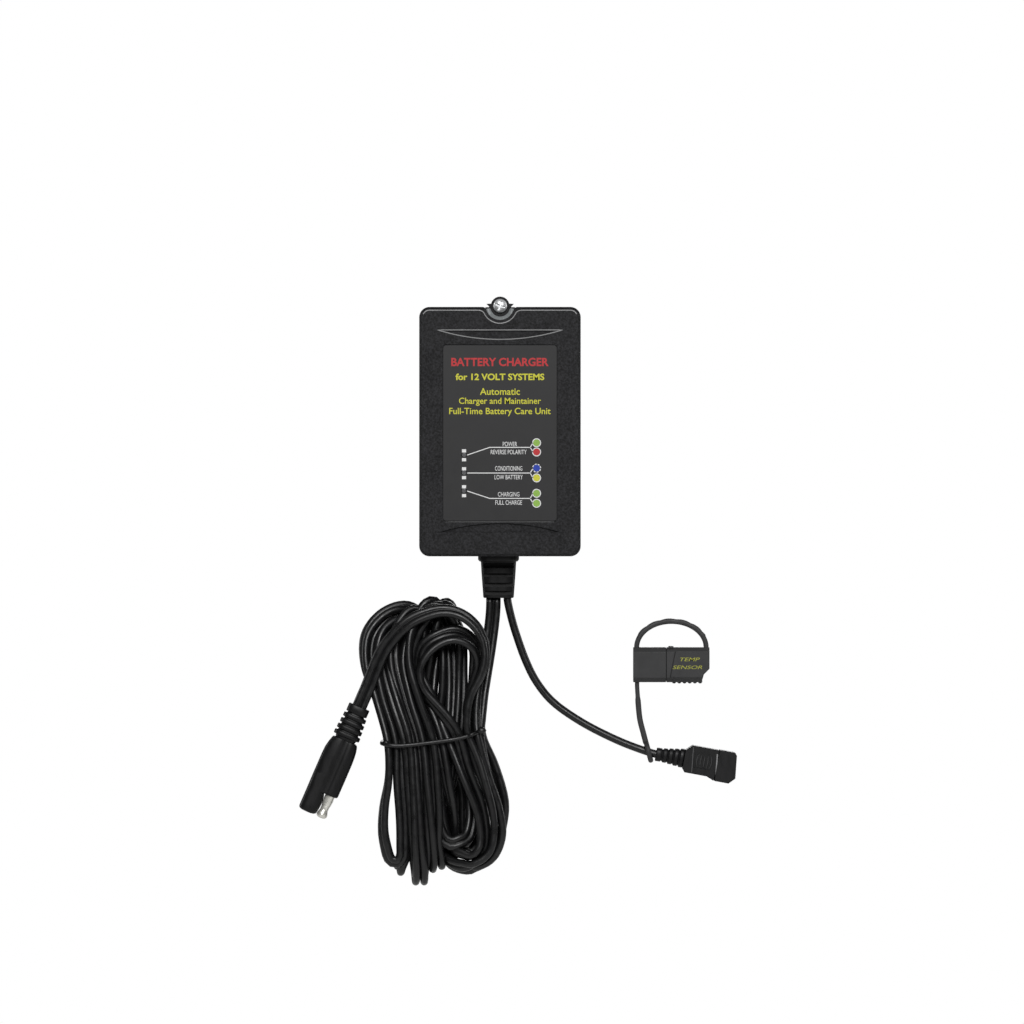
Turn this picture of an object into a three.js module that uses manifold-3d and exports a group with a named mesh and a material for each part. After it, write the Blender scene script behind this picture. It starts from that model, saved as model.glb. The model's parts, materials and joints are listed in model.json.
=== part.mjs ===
// A plug-in charger for 12 V vehicle batteries, as an assembly of separate pieces, in millimetres.
// +X is right seen from the front, +Z is up, and the front face looks towards -Y.
// The origin is on the back face, midway between the two mains blades.
// "Depth" below is a distance in front of the back face, so a depth of 44 is y = -44.
import * as THREE from "three";
import { mergeVertices } from "three/addons/utils/BufferGeometryUtils.js";
import Module from "manifold-3d";

// ---------- driving dimensions ----------

const FIT = 0.3; // gap between pieces that touch

const CASE_WIDTH = 63;
const CASE_HEIGHT = 97.3;
const CASE_TOP = 13.7;
const CASE_DEPTH = 44;
const CASE_CORNER = 4;
const CASE_EDGE = 1; // chamfer round the front and back faces
const CASE_WALL = 2.4;
const SPLIT = 15; // depth of the parting line between the two shells

const NOTCH_Z = 14.1; // axis of the half-round screwdriver notch in the top edge
const NOTCH_RADIUS = 5.5;
const NOTCH_FLARE = 1.4; // rounding of the notch's two shoulders

const SCREW_Z = 15.4; // axis of the mounting screw, above the blades
const TAB_RADIUS = 3.7;
const TAB_HOLE = 2.1;
const TAB_THICK = 3;
const TAB_SHOULDER_Z = 14.9; // top edge of the ear's plate beside its ring

const LABEL_WIDTH = 44.8;
const LABEL_HEIGHT = 69;
const LABEL_Z = -35.5;
const LABEL_CORNER = 1.2;
const LABEL_RECESS = 0.6;

const GROOVE_HALF = 24.4; // half the length of the crescent grooves
const GROOVE_RISE = 3.7;
const GROOVE_DEEP = 0.8;
const GROOVE_TOP_Z = 4.7;
const GROOVE_LOW_Z = -74.3;

const LED_X = -14;
const LED_Z = [-44, -51, -58];
const LENS_RADIUS = 0.95;

const BOSS_X = 25.4;
const BOSS_Z = [7.4, -76.8];
const POST_X = 24.2;
const POST_Z = [-4, -66];

const BOARD_WIDTH = 54;
const BOARD_HEIGHT = 70;
const BOARD_Z = -35;
const BOARD_BACK = 32; // depth of the board's back face, which carries the tall parts
const BOARD_THICK = 1.6;

const BLADE_SPACING = 12.7;
const BLADE_WIDTH = 6.35;
const BLADE_THICK = 1.5;
const BLADE_REACH = 16.5; // length of blade behind the back face
const BLADE_ROOT = 13; // depth of the blade's inner end

const CORD_DEPTH = 22; // depth of the plane that the cords leave the case in
const GLAND_X = -0.6;
const GLAND_END = -100.1;

const TWIN_WIDTH = 5.8; // flat two-core output lead
const TWIN_THICK = 3;
const TWIN_X = -2.6;
const HANK_BACK = 10;
const HANK_FRONT = 34;
const TIE_WIRE = 1.4;

const LEAD_RADIUS = 1.55; // round sensor lead

const PLUG_LEAN = THREE.MathUtils.degToRad(23.4);
const PLUG_PLACE = [-55.1, -29, -142.6];
const PLUG_WIDTH = 12.8;
const PLUG_THICK = 6.6;
const PLUG_BOOT = 14.3;
const PLUG_SHOULDER = 36.7;
const PLUG_END = 46.1;
const PLUG_POLE = 3.2; // each pole's distance from the plug's centre line
const PLUG_LEG = 3.4; // radius of the leg that shields the socket

const SOCKET_LEAN = THREE.MathUtils.degToRad(10.5);
const SOCKET_PLACE = [61.3, -CORD_DEPTH, -161.6];

const TAG_LEFT = 52.4;
const TAG_PART = 65.2; // where the cap and the sensor module meet
const TAG_RIGHT = 82.3;
const TAG_TOP = -119.5;
const TAG_LOW = -133.2;
const TAG_THICK = 7.6;
const EYE_LEAN = THREE.MathUtils.degToRad(-14.6);
const EYE_PLACE = [58.4, -CORD_DEPTH, -160.6];
const EYE_RADIUS = 3.6;
const EYE_WIRE = 0.95;

// ---------- colours ----------

const paint = (color, roughness, metalness = 0) =>
  new THREE.MeshStandardMaterial({ color, roughness, metalness });

const BLACK_PLASTIC = [0x2e2e30, 0.62];
const LABEL_GREY = [0x3c3b3d, 0.45];
const BLACK_RUBBER = [0x1d1d1e, 0.5];
const DARK_RUBBER = [0x262627, 0.6];
const TAG_GREY = [0x3f3f40, 0.55];
const ZINC = [0xd6d6d8, 0.3, 1];
const NICKEL = [0xd9d7d0, 0.22, 1];
const BRASS = [0xc9a24a, 0.35, 1];
const STEEL = [0x8f9194, 0.35, 1];
const SMOKE = [0x6a6a6c, 0.2];
const BOARD_GREEN = [0x1f5a34, 0.5];
const FERRITE = [0x3a3a3c, 0.7];
const COIL_YELLOW = [0xd7b23c, 0.5];
const SLEEVE_BLUE = [0x22324f, 0.35];
const ALUMINIUM = [0xb9bcbf, 0.4, 1];
const COPPER = [0xb06a3a, 0.35, 1];
const WHITE_PLASTIC = [0xe6e4dc, 0.5];
const WIRE_RED = [0x9e2b28, 0.5];

// ---------- solids and joining ----------

const wasm = await Module();
wasm.setup();

// A closed geometry as a solid that can be joined and cut.
function solid(geometry) {
  const bare = geometry.index ? geometry.toNonIndexed() : geometry.clone();
  bare.deleteAttribute("normal");
  bare.deleteAttribute("uv");
  const merged = mergeVertices(bare, 1e-3);
  return new wasm.Manifold(
    new wasm.Mesh({
      numProp: 3,
      vertProperties: new Float32Array(merged.attributes.position.array),
      triVerts: new Uint32Array(merged.index.array),
    }),
  );
}

// A solid back as a geometry, flat shaded.
function geometryOf(body) {
  const mesh = body.getMesh();
  const geometry = new THREE.BufferGeometry();
  const position = new THREE.BufferAttribute(new Float32Array(mesh.vertProperties), 3);
  geometry.setAttribute("position", position);
  geometry.setIndex(new THREE.BufferAttribute(new Uint32Array(mesh.triVerts), 1));
  const flat = geometry.toNonIndexed();
  flat.computeVertexNormals();
  return flat;
}

function joined(geometries) {
  return geometries.map(solid).reduce((whole, piece) => whole.add(piece));
}

function carved(body, cutters) {
  return cutters.map(solid).reduce((whole, cutter) => whole.subtract(cutter), body);
}

// ---------- outlines and simple shapes ----------

function roundedRect(width, height, radius, x = 0, y = 0) {
  const shape = new THREE.Shape();
  const right = x + width / 2 - radius;
  const left = x - width / 2 + radius;
  const top = y + height / 2 - radius;
  const low = y - height / 2 + radius;
  shape.absarc(right, low, radius, -Math.PI / 2, 0, false);
  shape.absarc(right, top, radius, 0, Math.PI / 2, false);
  shape.absarc(left, top, radius, Math.PI / 2, Math.PI, false);
  shape.absarc(left, low, radius, Math.PI, 1.5 * Math.PI, false);
  shape.closePath();
  return shape;
}

function polygon(points) {
  return new THREE.Shape(points.map(([x, y]) => new THREE.Vector2(x, y)));
}

// A front view outline (x, z), drawn out between two depths.
function prism(shape, from, to, curveSegments = 6) {
  const options = { depth: to - from, bevelEnabled: false, curveSegments };
  const geometry = new THREE.ExtrudeGeometry(shape, options);
  geometry.translate(0, 0, from);
  geometry.rotateX(Math.PI / 2);
  return geometry;
}

// A plan view outline (x, y), drawn out upwards between two heights.
function column(shape, low, high, curveSegments = 6) {
  const options = { depth: high - low, bevelEnabled: false, curveSegments };
  const geometry = new THREE.ExtrudeGeometry(shape, options);
  geometry.translate(0, 0, low);
  return geometry;
}

// A side view outline (y, z), drawn out along x.
function beam(shape, from, to, curveSegments = 6) {
  const options = { depth: to - from, bevelEnabled: false, curveSegments };
  const geometry = new THREE.ExtrudeGeometry(shape, options);
  geometry.translate(0, 0, from);
  const axes = [new THREE.Vector3(0, 1, 0), new THREE.Vector3(0, 0, 1), new THREE.Vector3(1, 0, 0)];
  geometry.applyMatrix4(new THREE.Matrix4().makeBasis(...axes));
  return geometry;
}

// A box given by its limits along x, its depths and its heights.
function block([left, right], [back, front], [low, high]) {
  const geometry = new THREE.BoxGeometry(right - left, front - back, high - low);
  geometry.translate((left + right) / 2, -(back + front) / 2, (low + high) / 2);
  return geometry;
}

// A round rod whose axis runs from back to front.
function rod(radius, from, to, x, z, segments = 12) {
  const geometry = new THREE.CylinderGeometry(radius, radius, to - from, segments);
  geometry.translate(x, -(from + to) / 2, z);
  return geometry;
}

// A round piece turned about a front-to-back axis: [radius, depth] pairs, from back to front.
function turned(profile, x, z, segments = 12) {
  const points = profile.map(([radius, depth]) => new THREE.Vector2(radius, -depth)).reverse();
  const geometry = new THREE.LatheGeometry(points, segments);
  geometry.translate(x, 0, z);
  return geometry;
}

// A section drawn along a smooth curve through points.
function tube(points, section, steps) {
  const path = new THREE.CatmullRomCurve3(points.map((p) => new THREE.Vector3(...p)));
  const options = { steps, extrudePath: path, curveSegments: 2 };
  return new THREE.ExtrudeGeometry(section, options);
}

function flatSection(deep, wide) {
  return polygon([[-deep / 2, -wide / 2], [deep / 2, -wide / 2], [deep / 2, wide / 2], [-deep / 2, wide / 2]]);
}

function roundSection(radius, sides) {
  const corners = [];
  for (let i = 0; i < sides; i++) {
    const angle = (2 * Math.PI * (i + 0.5)) / sides;
    corners.push([radius * Math.cos(angle), radius * Math.sin(angle)]);
  }
  return polygon(corners);
}

// A chord with an arc on one side: the outline of the crescent grooves.
function crescent(z, rise) {
  const radius = (GROOVE_HALF ** 2 + rise ** 2) / (2 * Math.abs(rise));
  const centre = z - rise + Math.sign(rise) * radius;
  const start = Math.atan2(z - centre, GROOVE_HALF);
  const end = Math.atan2(z - centre, -GROOVE_HALF);
  const shape = new THREE.Shape();
  shape.moveTo(-GROOVE_HALF, z);
  shape.lineTo(GROOVE_HALF, z);
  shape.absarc(0, centre, radius, start, end, rise > 0);
  return shape;
}

// ---------- the model ----------

const charger = new THREE.Group();

function addPiece(name, geometry, [color, roughness, metalness], parent = charger) {
  const mesh = new THREE.Mesh(geometry, paint(color, roughness, metalness));
  mesh.name = name;
  parent.add(mesh);
  return mesh;
}

// ---------- case ----------

function caseBlock() {
  const geometry = new THREE.ExtrudeGeometry(roundedRect(CASE_WIDTH, CASE_HEIGHT, CASE_CORNER), {
    depth: CASE_DEPTH - 2 * CASE_EDGE,
    bevelThickness: CASE_EDGE,
    bevelSize: CASE_EDGE,
    bevelOffset: -CASE_EDGE,
    bevelSegments: 1,
    curveSegments: 4,
  });
  geometry.translate(0, CASE_TOP - CASE_HEIGHT / 2, CASE_EDGE);
  geometry.rotateX(Math.PI / 2);
  return solid(geometry);
}

function notchOutline() {
  const shape = new THREE.Shape();
  const edge = NOTCH_RADIUS + NOTCH_FLARE;
  shape.moveTo(-edge, CASE_TOP + 2);
  shape.lineTo(-edge, CASE_TOP);
  shape.quadraticCurveTo(-NOTCH_RADIUS, CASE_TOP, -NOTCH_RADIUS, CASE_TOP - NOTCH_FLARE);
  const drop = Math.asin((NOTCH_Z - CASE_TOP + NOTCH_FLARE) / NOTCH_RADIUS);
  shape.absarc(0, NOTCH_Z, NOTCH_RADIUS, Math.PI + drop, 2 * Math.PI - drop, false);
  shape.lineTo(NOTCH_RADIUS, CASE_TOP - NOTCH_FLARE);
  shape.quadraticCurveTo(NOTCH_RADIUS, CASE_TOP, edge, CASE_TOP);
  shape.lineTo(edge, CASE_TOP + 2);
  return shape;
}

// The hollow inside both shells, which keeps clear of the notch's own wall.
function cavity(from, to) {
  const inner = [CASE_WIDTH - 2 * CASE_WALL, CASE_HEIGHT - 2 * CASE_WALL, CASE_CORNER / 2];
  const hollow = solid(prism(roundedRect(...inner, 0, CASE_TOP - CASE_HEIGHT / 2), from, to));
  const wall = rod(NOTCH_RADIUS + CASE_WALL, from - 1, to + 1, 0, NOTCH_Z, 20);
  return hollow.subtract(solid(wall));
}

function eachBoss(make) {
  return BOSS_Z.flatMap((z) => [-BOSS_X, BOSS_X].map((x) => make(x, z)));
}

function addFrontCase() {
  const inside = CASE_DEPTH - CASE_WALL;
  const rear = block([-40, 40], [-5, SPLIT + FIT], [-100, 30]);
  let body = caseBlock().subtract(solid(rear));
  body = body.subtract(cavity(SPLIT - 1, inside));
  const bosses = eachBoss((x, z) => rod(3.1, SPLIT + FIT, inside + 0.5, x, z));
  const posts = POST_Z.flatMap((z) =>
    [-POST_X, POST_X].map((x) => rod(2.2, BOARD_BACK + BOARD_THICK + FIT, inside + 0.5, x, z, 12)),
  );
  body = body.add(joined([...bosses, ...posts]));
  const low = CASE_TOP - CASE_HEIGHT;
  const cutters = [
    prism(notchOutline(), -1, CASE_DEPTH + 1),
    ...eachBoss((x, z) => rod(1.6, SPLIT - 1, 29, x, z, 12)),
    ...POST_Z.map((z, i) => rod(1.3, BOARD_BACK, inside - 0.5, i ? -POST_X : POST_X, z, 12)),
    ...LED_Z.map((z) => rod(LENS_RADIUS + 0.3, inside - 1, CASE_DEPTH, LED_X, z, 12)),
    prism(
      roundedRect(LABEL_WIDTH, LABEL_HEIGHT, LABEL_CORNER, 0, LABEL_Z),
      CASE_DEPTH - LABEL_RECESS,
      CASE_DEPTH + 1,
    ),
    prism(crescent(GROOVE_TOP_Z, GROOVE_RISE), CASE_DEPTH - GROOVE_DEEP, CASE_DEPTH + 1, 10),
    prism(crescent(GROOVE_LOW_Z, -GROOVE_RISE), CASE_DEPTH - GROOVE_DEEP, CASE_DEPTH + 1, 10),
    block([GLAND_X - 5.8, GLAND_X + 5.8], [SPLIT - 1, CORD_DEPTH + 4.3], [low - 1, low + 4]),
  ];
  addPiece("front_case", geometryOf(carved(body, cutters)), BLACK_PLASTIC);
}

// The ear that the mounting screw holds: a ring on a plate that closes the foot of the notch.
function tabSolid() {
  const above = block([-20, 20], [-5, TAB_THICK + 5], [TAB_SHOULDER_Z, SCREW_Z + 20]);
  const plate = solid(rod(NOTCH_RADIUS + 0.4, 0, TAB_THICK, 0, NOTCH_Z, 28)).subtract(solid(above));
  return plate.add(solid(rod(TAB_RADIUS, 0, TAB_THICK, 0, SCREW_Z, 24)));
}

function addRearCase() {
  const front = block([-40, 40], [SPLIT, CASE_DEPTH + 5], [-100, 30]);
  let body = caseBlock().subtract(solid(front));
  body = body.subtract(cavity(CASE_WALL, SPLIT + 1));
  body = body.add(joined(eachBoss((x, z) => rod(4.2, CASE_WALL - 0.5, SPLIT, x, z, 14))));
  body = body.subtract(solid(prism(notchOutline(), -1, CASE_DEPTH + 1)));
  const low = CASE_TOP - CASE_HEIGHT;
  const tongueFront = CORD_DEPTH - 4.3;
  const tongue = block([GLAND_X - 5.5, GLAND_X + 5.5], [SPLIT - 3, tongueFront], [low, low + 2]);
  body = body.add(tabSolid()).add(solid(tongue));
  const slot = { high: BLADE_WIDTH / 2 + FIT, wide: BLADE_THICK / 2 + FIT };
  const cutters = [
    rod(TAB_HOLE, -1, TAB_THICK + 1, 0, SCREW_Z, 14),
    ...eachBoss((x, z) => rod(3, -1, 6, x, z)),
    ...eachBoss((x, z) => rod(1.7, 5, SPLIT + 1, x, z, 12)),
    ...[-1, 1].map((side) => {
      const x = (side * BLADE_SPACING) / 2;
      return block([x - slot.wide, x + slot.wide], [-1, CASE_WALL + 1], [-slot.high, slot.high]);
    }),
  ];
  addPiece("rear_case", geometryOf(carved(body, cutters)), BLACK_PLASTIC);
}

function addCaseScrews() {
  const profile = [
    [0, 3.6],
    [1.4, 3.6],
    [2.6, 4.4],
    [2.6, 5.8],
    [1.35, 5.8],
    [1.35, 26],
    [0, 28],
  ];
  eachBoss((x, z) => turned(profile, x, z, 12)).forEach((geometry, i) =>
    addPiece(`case_screw_${i + 1}`, geometry, STEEL),
  );
}

function addLabel() {
  const back = CASE_DEPTH - LABEL_RECESS + 0.05;
  const outline = roundedRect(LABEL_WIDTH - 0.5, LABEL_HEIGHT - 0.5, LABEL_CORNER, 0, LABEL_Z);
  const film = solid(prism(outline, back, back + 0.4));
  const holes = LED_Z.map((z) => rod(LENS_RADIUS + 0.2, back - 1, back + 1, LED_X, z, 12));
  addPiece("label", geometryOf(carved(film, holes)), LABEL_GREY);
}

function addMountingScrew() {
  const seat = TAB_THICK + FIT;
  const profile = [
    [0, -20],
    [1.2, -20],
    [1.7, -18.5],
    [1.7, seat],
    [2.75, seat],
    [2.75, seat + 0.8],
    [2.1, seat + 1.9],
    [0, seat + 2.3],
  ];
  const body = solid(turned(profile, 0, SCREW_Z, 14));
  const slots = [
    block([-1.9, 1.9], [seat + 1.1, seat + 4], [SCREW_Z - 0.35, SCREW_Z + 0.35]),
    block([-0.35, 0.35], [seat + 1.1, seat + 4], [SCREW_Z - 1.9, SCREW_Z + 1.9]),
  ];
  addPiece("mounting_screw", geometryOf(carved(body, slots)), ZINC);
}

// ---------- mains side ----------

function addBlades() {
  const tip = BLADE_REACH;
  const half = BLADE_WIDTH / 2;
  const outline = polygon([
    [-BLADE_ROOT, -half],
    [tip - 1.5, -half],
    [tip, -half + 1.2],
    [tip, half - 1.2],
    [tip - 1.5, half],
    [-BLADE_ROOT, half],
  ]);
  const hole = new THREE.Path();
  hole.absarc(tip - 4.5, 0, 1.6, 0, 2 * Math.PI, true);
  outline.holes.push(hole);
  [-1, 1].forEach((side, i) => {
    const x = (side * BLADE_SPACING) / 2;
    const blade = beam(outline, x - BLADE_THICK / 2, x + BLADE_THICK / 2, 8);
    addPiece(`blade_${i + 1}`, blade, NICKEL);
  });
}

function addBladeCarrier() {
  const body = solid(block([-12, 12], [CASE_WALL + FIT, 9.8], [-5.5, 5.5]));
  const slots = [-1, 1].map((side) => {
    const x = (side * BLADE_SPACING) / 2;
    const wide = BLADE_THICK / 2 + FIT;
    const high = BLADE_WIDTH / 2 + FIT;
    return block([x - wide, x + wide], [0, 11], [-high, high]);
  });
  addPiece("blade_carrier", geometryOf(carved(body, slots)), WHITE_PLASTIC);
}

// ---------- circuit board and what it carries ----------

function addBoard() {
  const front = BOARD_BACK + BOARD_THICK;
  const plate = solid(prism(roundedRect(BOARD_WIDTH, BOARD_HEIGHT, 1, 0, BOARD_Z), BOARD_BACK, front));
  const holes = POST_Z.flatMap((z) =>
    [-POST_X, POST_X].map((x) => rod(1.3, BOARD_BACK - 1, front + 1, x, z, 12)),
  );
  addPiece("circuit_board", geometryOf(carved(plate, holes)), BOARD_GREEN);
  const screw = [
    [0, 30.2],
    [2.1, 30.2],
    [2.1, BOARD_BACK - FIT],
    [1.05, BOARD_BACK - FIT],
    [1.05, 39.5],
    [0, 40.3],
  ];
  POST_Z.forEach((z, i) => {
    const x = i ? -POST_X : POST_X;
    addPiece(`board_screw_${i + 1}`, turned(screw, x, z, 12), STEEL);
  });
}

function addTransformer() {
  const x = 8;
  const z = -17;
  const frame = roundedRect(27, 22, 0.6, x, z);
  [-1, 1].forEach((side) => frame.holes.push(roundedRect(7, 13, 0.4, x + side * 6.5, z)));
  addPiece("transformer_core", prism(frame, 17.7, 27.7, 2), FERRITE);
  const winding = roundedRect(19.2, 17.8, 3, x, -22.7);
  winding.holes.push(roundedRect(6.8, 10.8, 0.3, x, -22.7));
  addPiece("transformer_coil", column(winding, z - 6.1, z + 6.1, 3), COIL_YELLOW);
}

function addCapacitor(name, radius, top, x, z) {
  const seat = BOARD_BACK - FIT;
  const profile = [
    [0, top],
    [radius - 0.5, top],
    [radius, top + 0.6],
    [radius, seat - 2.6],
    [radius - 0.5, seat - 2],
    [radius, seat - 1.4],
    [radius, seat],
    [0, seat],
  ];
  addPiece(name, turned(profile, x, z), SLEEVE_BLUE);
}

function addHeatSink() {
  const left = -13;
  const fins = 6;
  const pitch = 6;
  const top = -36;
  const outline = [[left, top]];
  for (let i = 0; i < fins; i++) {
    const x = left + i * pitch;
    outline.push([x, top - 7], [x + 1.4, top - 7]);
    if (i < fins - 1) outline.push([x + 1.4, top - 2], [x + pitch, top - 2]);
  }
  outline.push([left + (fins - 1) * pitch + 1.4, top]);
  addPiece("heat_sink", prism(polygon(outline), 12, BOARD_BACK - FIT), ALUMINIUM);
  const transistor = block([-2, 8], [14, 29], [top + FIT, top + 4.6]);
  addPiece("power_transistor", transistor, FERRITE);
}

function addSmallParts() {
  const ring = new THREE.TorusGeometry(5.4, 2.3, 6, 14);
  ring.rotateX(Math.PI / 2);
  ring.translate(-19, -(BOARD_BACK - FIT - 2.4), -50);
  addPiece("choke", ring, COPPER);
  const fuse = new THREE.CylinderGeometry(2.1, 2.1, 14, 12);
  fuse.rotateZ(Math.PI / 2);
  fuse.translate(-15, -(BOARD_BACK - FIT - 2.2), -26);
  addPiece("fuse", fuse, WHITE_PLASTIC);
  addPiece("controller_chip", block([14, 22], [29.8, BOARD_BACK - FIT], [-62, -52]), FERRITE);
}

function addLeds() {
  const board = BOARD_BACK + BOARD_THICK + FIT;
  const inside = CASE_DEPTH - CASE_WALL;
  const led = [
    [0, board],
    [1.7, board],
    [1.7, board + 0.8],
    [1.5, board + 0.8],
    [1.5, board + 2],
    [0, board + 3],
  ];
  const pipe = [
    [0, board + FIT + 3],
    [LENS_RADIUS, board + FIT + 3],
    [LENS_RADIUS, inside - 1.5],
    [1.9, inside - 1.5],
    [1.9, inside - FIT],
    [LENS_RADIUS, inside - FIT],
    [LENS_RADIUS, CASE_DEPTH - 0.2],
    [0, CASE_DEPTH - 0.2],
  ];
  LED_Z.forEach((z, i) => {
    addPiece(`led_${i + 1}`, turned(led, LED_X, z, 12), SMOKE);
    addPiece(`light_pipe_${i + 1}`, turned(pipe, LED_X, z, 12), SMOKE);
  });
}

function addInnerWires() {
  const section = roundSection(0.8, 6);
  const seat = BOARD_BACK - 2 * FIT;
  const entry = -77.4;
  [-1, 1].forEach((side, i) => {
    const x = (side * BLADE_SPACING) / 2;
    const points = [
      [x, -BLADE_ROOT - 2 * FIT, 0],
      [x, -18, 0.5],
      [x + side * 2, -25, 0],
      [x + side * 3, -seat, -1.5],
    ];
    addPiece(`mains_wire_${i + 1}`, tube(points, section, 10), i ? WIRE_RED : WHITE_PLASTIC);
  });
  [TWIN_X - 1.5, TWIN_X + 1.5].forEach((x, i) => {
    const points = [
      [x, -CORD_DEPTH, entry],
      [x - 0.5, -CORD_DEPTH - 1, -74],
      [x - 3, -CORD_DEPTH - 6, -69.5],
      [x - 3.5, -seat, -67.5],
    ];
    addPiece(`output_wire_${i + 1}`, tube(points, section, 10), i ? WIRE_RED : BLACK_RUBBER);
  });
  const points = [
    [3, -CORD_DEPTH, entry],
    [4, -CORD_DEPTH - 1, -74],
    [8, -CORD_DEPTH - 6, -69.5],
    [9, -seat, -67.5],
  ];
  addPiece("sensor_wire", tube(points, section, 10), WHITE_PLASTIC);
}

// ---------- strain relief and output lead ----------

// Flat ovals stacked downwards, each with its own width, thickness and heights.
function stackedOvals(ovals, x, y) {
  return joined(
    ovals.map(([width, thick, high, low]) =>
      column(roundedRect(width, thick, thick * 0.42, x, y), low, high, 2),
    ),
  );
}

function addStrainRelief() {
  const low = CASE_TOP - CASE_HEIGHT;
  const ovals = [
    [15, 11, low + 5.1, low + CASE_WALL + FIT],
    [11, 8, low + 5, low - 1],
    [16.1, 11, low - FIT, low - 2.6],
    [13.9, 9, low - 2.5, low - 3.3],
    [12.9, 6, low - 2, -94],
    [11.3, 6, -93.5, GLAND_END + 0.5],
    [13.7, 8.8, -88.3, -90.7],
    [13.1, 8.4, -91.9, -94.1],
    [12.5, 8, -95.3, -97.5],
    [11.9, 7.6, -98.6, GLAND_END],
  ];
  addPiece("strain_relief", geometryOf(stackedOvals(ovals, GLAND_X, -CORD_DEPTH)), DARK_RUBBER);
}

// The bundled length: wide at both ends, with a waist for the tie and a flat shoulder for each end.
const HANK_OUTLINE = {
  leftSide: [[-48.6, -135.3], [-45.1, -151], [-45, -160], [-48, -178], [-49, -194], [-45.5, -206]],
  bottom: [[-34, -213.4], [-22, -211.4], [-8, -209.6], [-1, -203]],
  rightSide: [[3, -190], [2.4, -179], [-5.6, -163], [-9, -156], [-9, -149], [-1.6, -126]],
  shoulder: [[-0.2, -117], [-0.2, -112.4], [-8.5, -112.4]],
  top: [[-14.5, -103], [-25, -98.2], [-40, -100.5], [-50, -107.5], [-55.4, -118], [-54.6, -132.9]],
};

function addHank() {
  const { leftSide, bottom, rightSide, shoulder, top } = HANK_OUTLINE;
  const smooth = (points) =>
    new THREE.SplineCurve(points.map(([x, z]) => new THREE.Vector2(x, z))).getPoints(20);
  const flat = shoulder.map(([x, z]) => new THREE.Vector2(x, z));
  const outline = new THREE.Shape([
    ...smooth([...leftSide, ...bottom, ...rightSide]),
    ...flat,
    ...smooth(top),
  ]);
  addPiece("output_lead_hank", prism(outline, HANK_BACK, HANK_FRONT), BLACK_RUBBER);
}

function addOutputLead() {
  const section = roundedRect(TWIN_THICK, TWIN_WIDTH, TWIN_THICK * 0.45);
  const upper = [
    [TWIN_X, -CORD_DEPTH, GLAND_END - FIT],
    [TWIN_X - 0.1, -CORD_DEPTH, -105],
    [-3.4, -CORD_DEPTH, -111.9],
  ];
  addPiece("output_lead_upper", tube(upper, section, 3), BLACK_RUBBER);
  const plugDepth = PLUG_PLACE[1];
  const tail = [
    [-51.7, plugDepth, -134.7],
    [-53.4, plugDepth, -138.6],
    [PLUG_PLACE[0] + 0.1, plugDepth, PLUG_PLACE[2] + FIT],
  ];
  addPiece("output_lead_tail", tube(tail, section, 3), BLACK_RUBBER);
}

// A wire tie drawn round the bundle's waist, a little lower on the left.
function addTie() {
  const inner = { wide: 37.4, deep: HANK_FRONT - HANK_BACK + 2 * FIT };
  const ring = roundedRect(inner.wide + 2 * TIE_WIRE, inner.deep + 2 * TIE_WIRE, TIE_WIRE);
  ring.holes.push(roundedRect(inner.wide, inner.deep, FIT));
  const tie = addPiece("cord_tie", column(ring, -TIE_WIRE / 2, TIE_WIRE / 2, 2), BLACK_RUBBER);
  tie.position.set(-27, -(HANK_BACK + HANK_FRONT) / 2, -155);
  tie.rotation.y = THREE.MathUtils.degToRad(-5.5);
}

// ---------- two-pole plug on the output lead ----------

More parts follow.
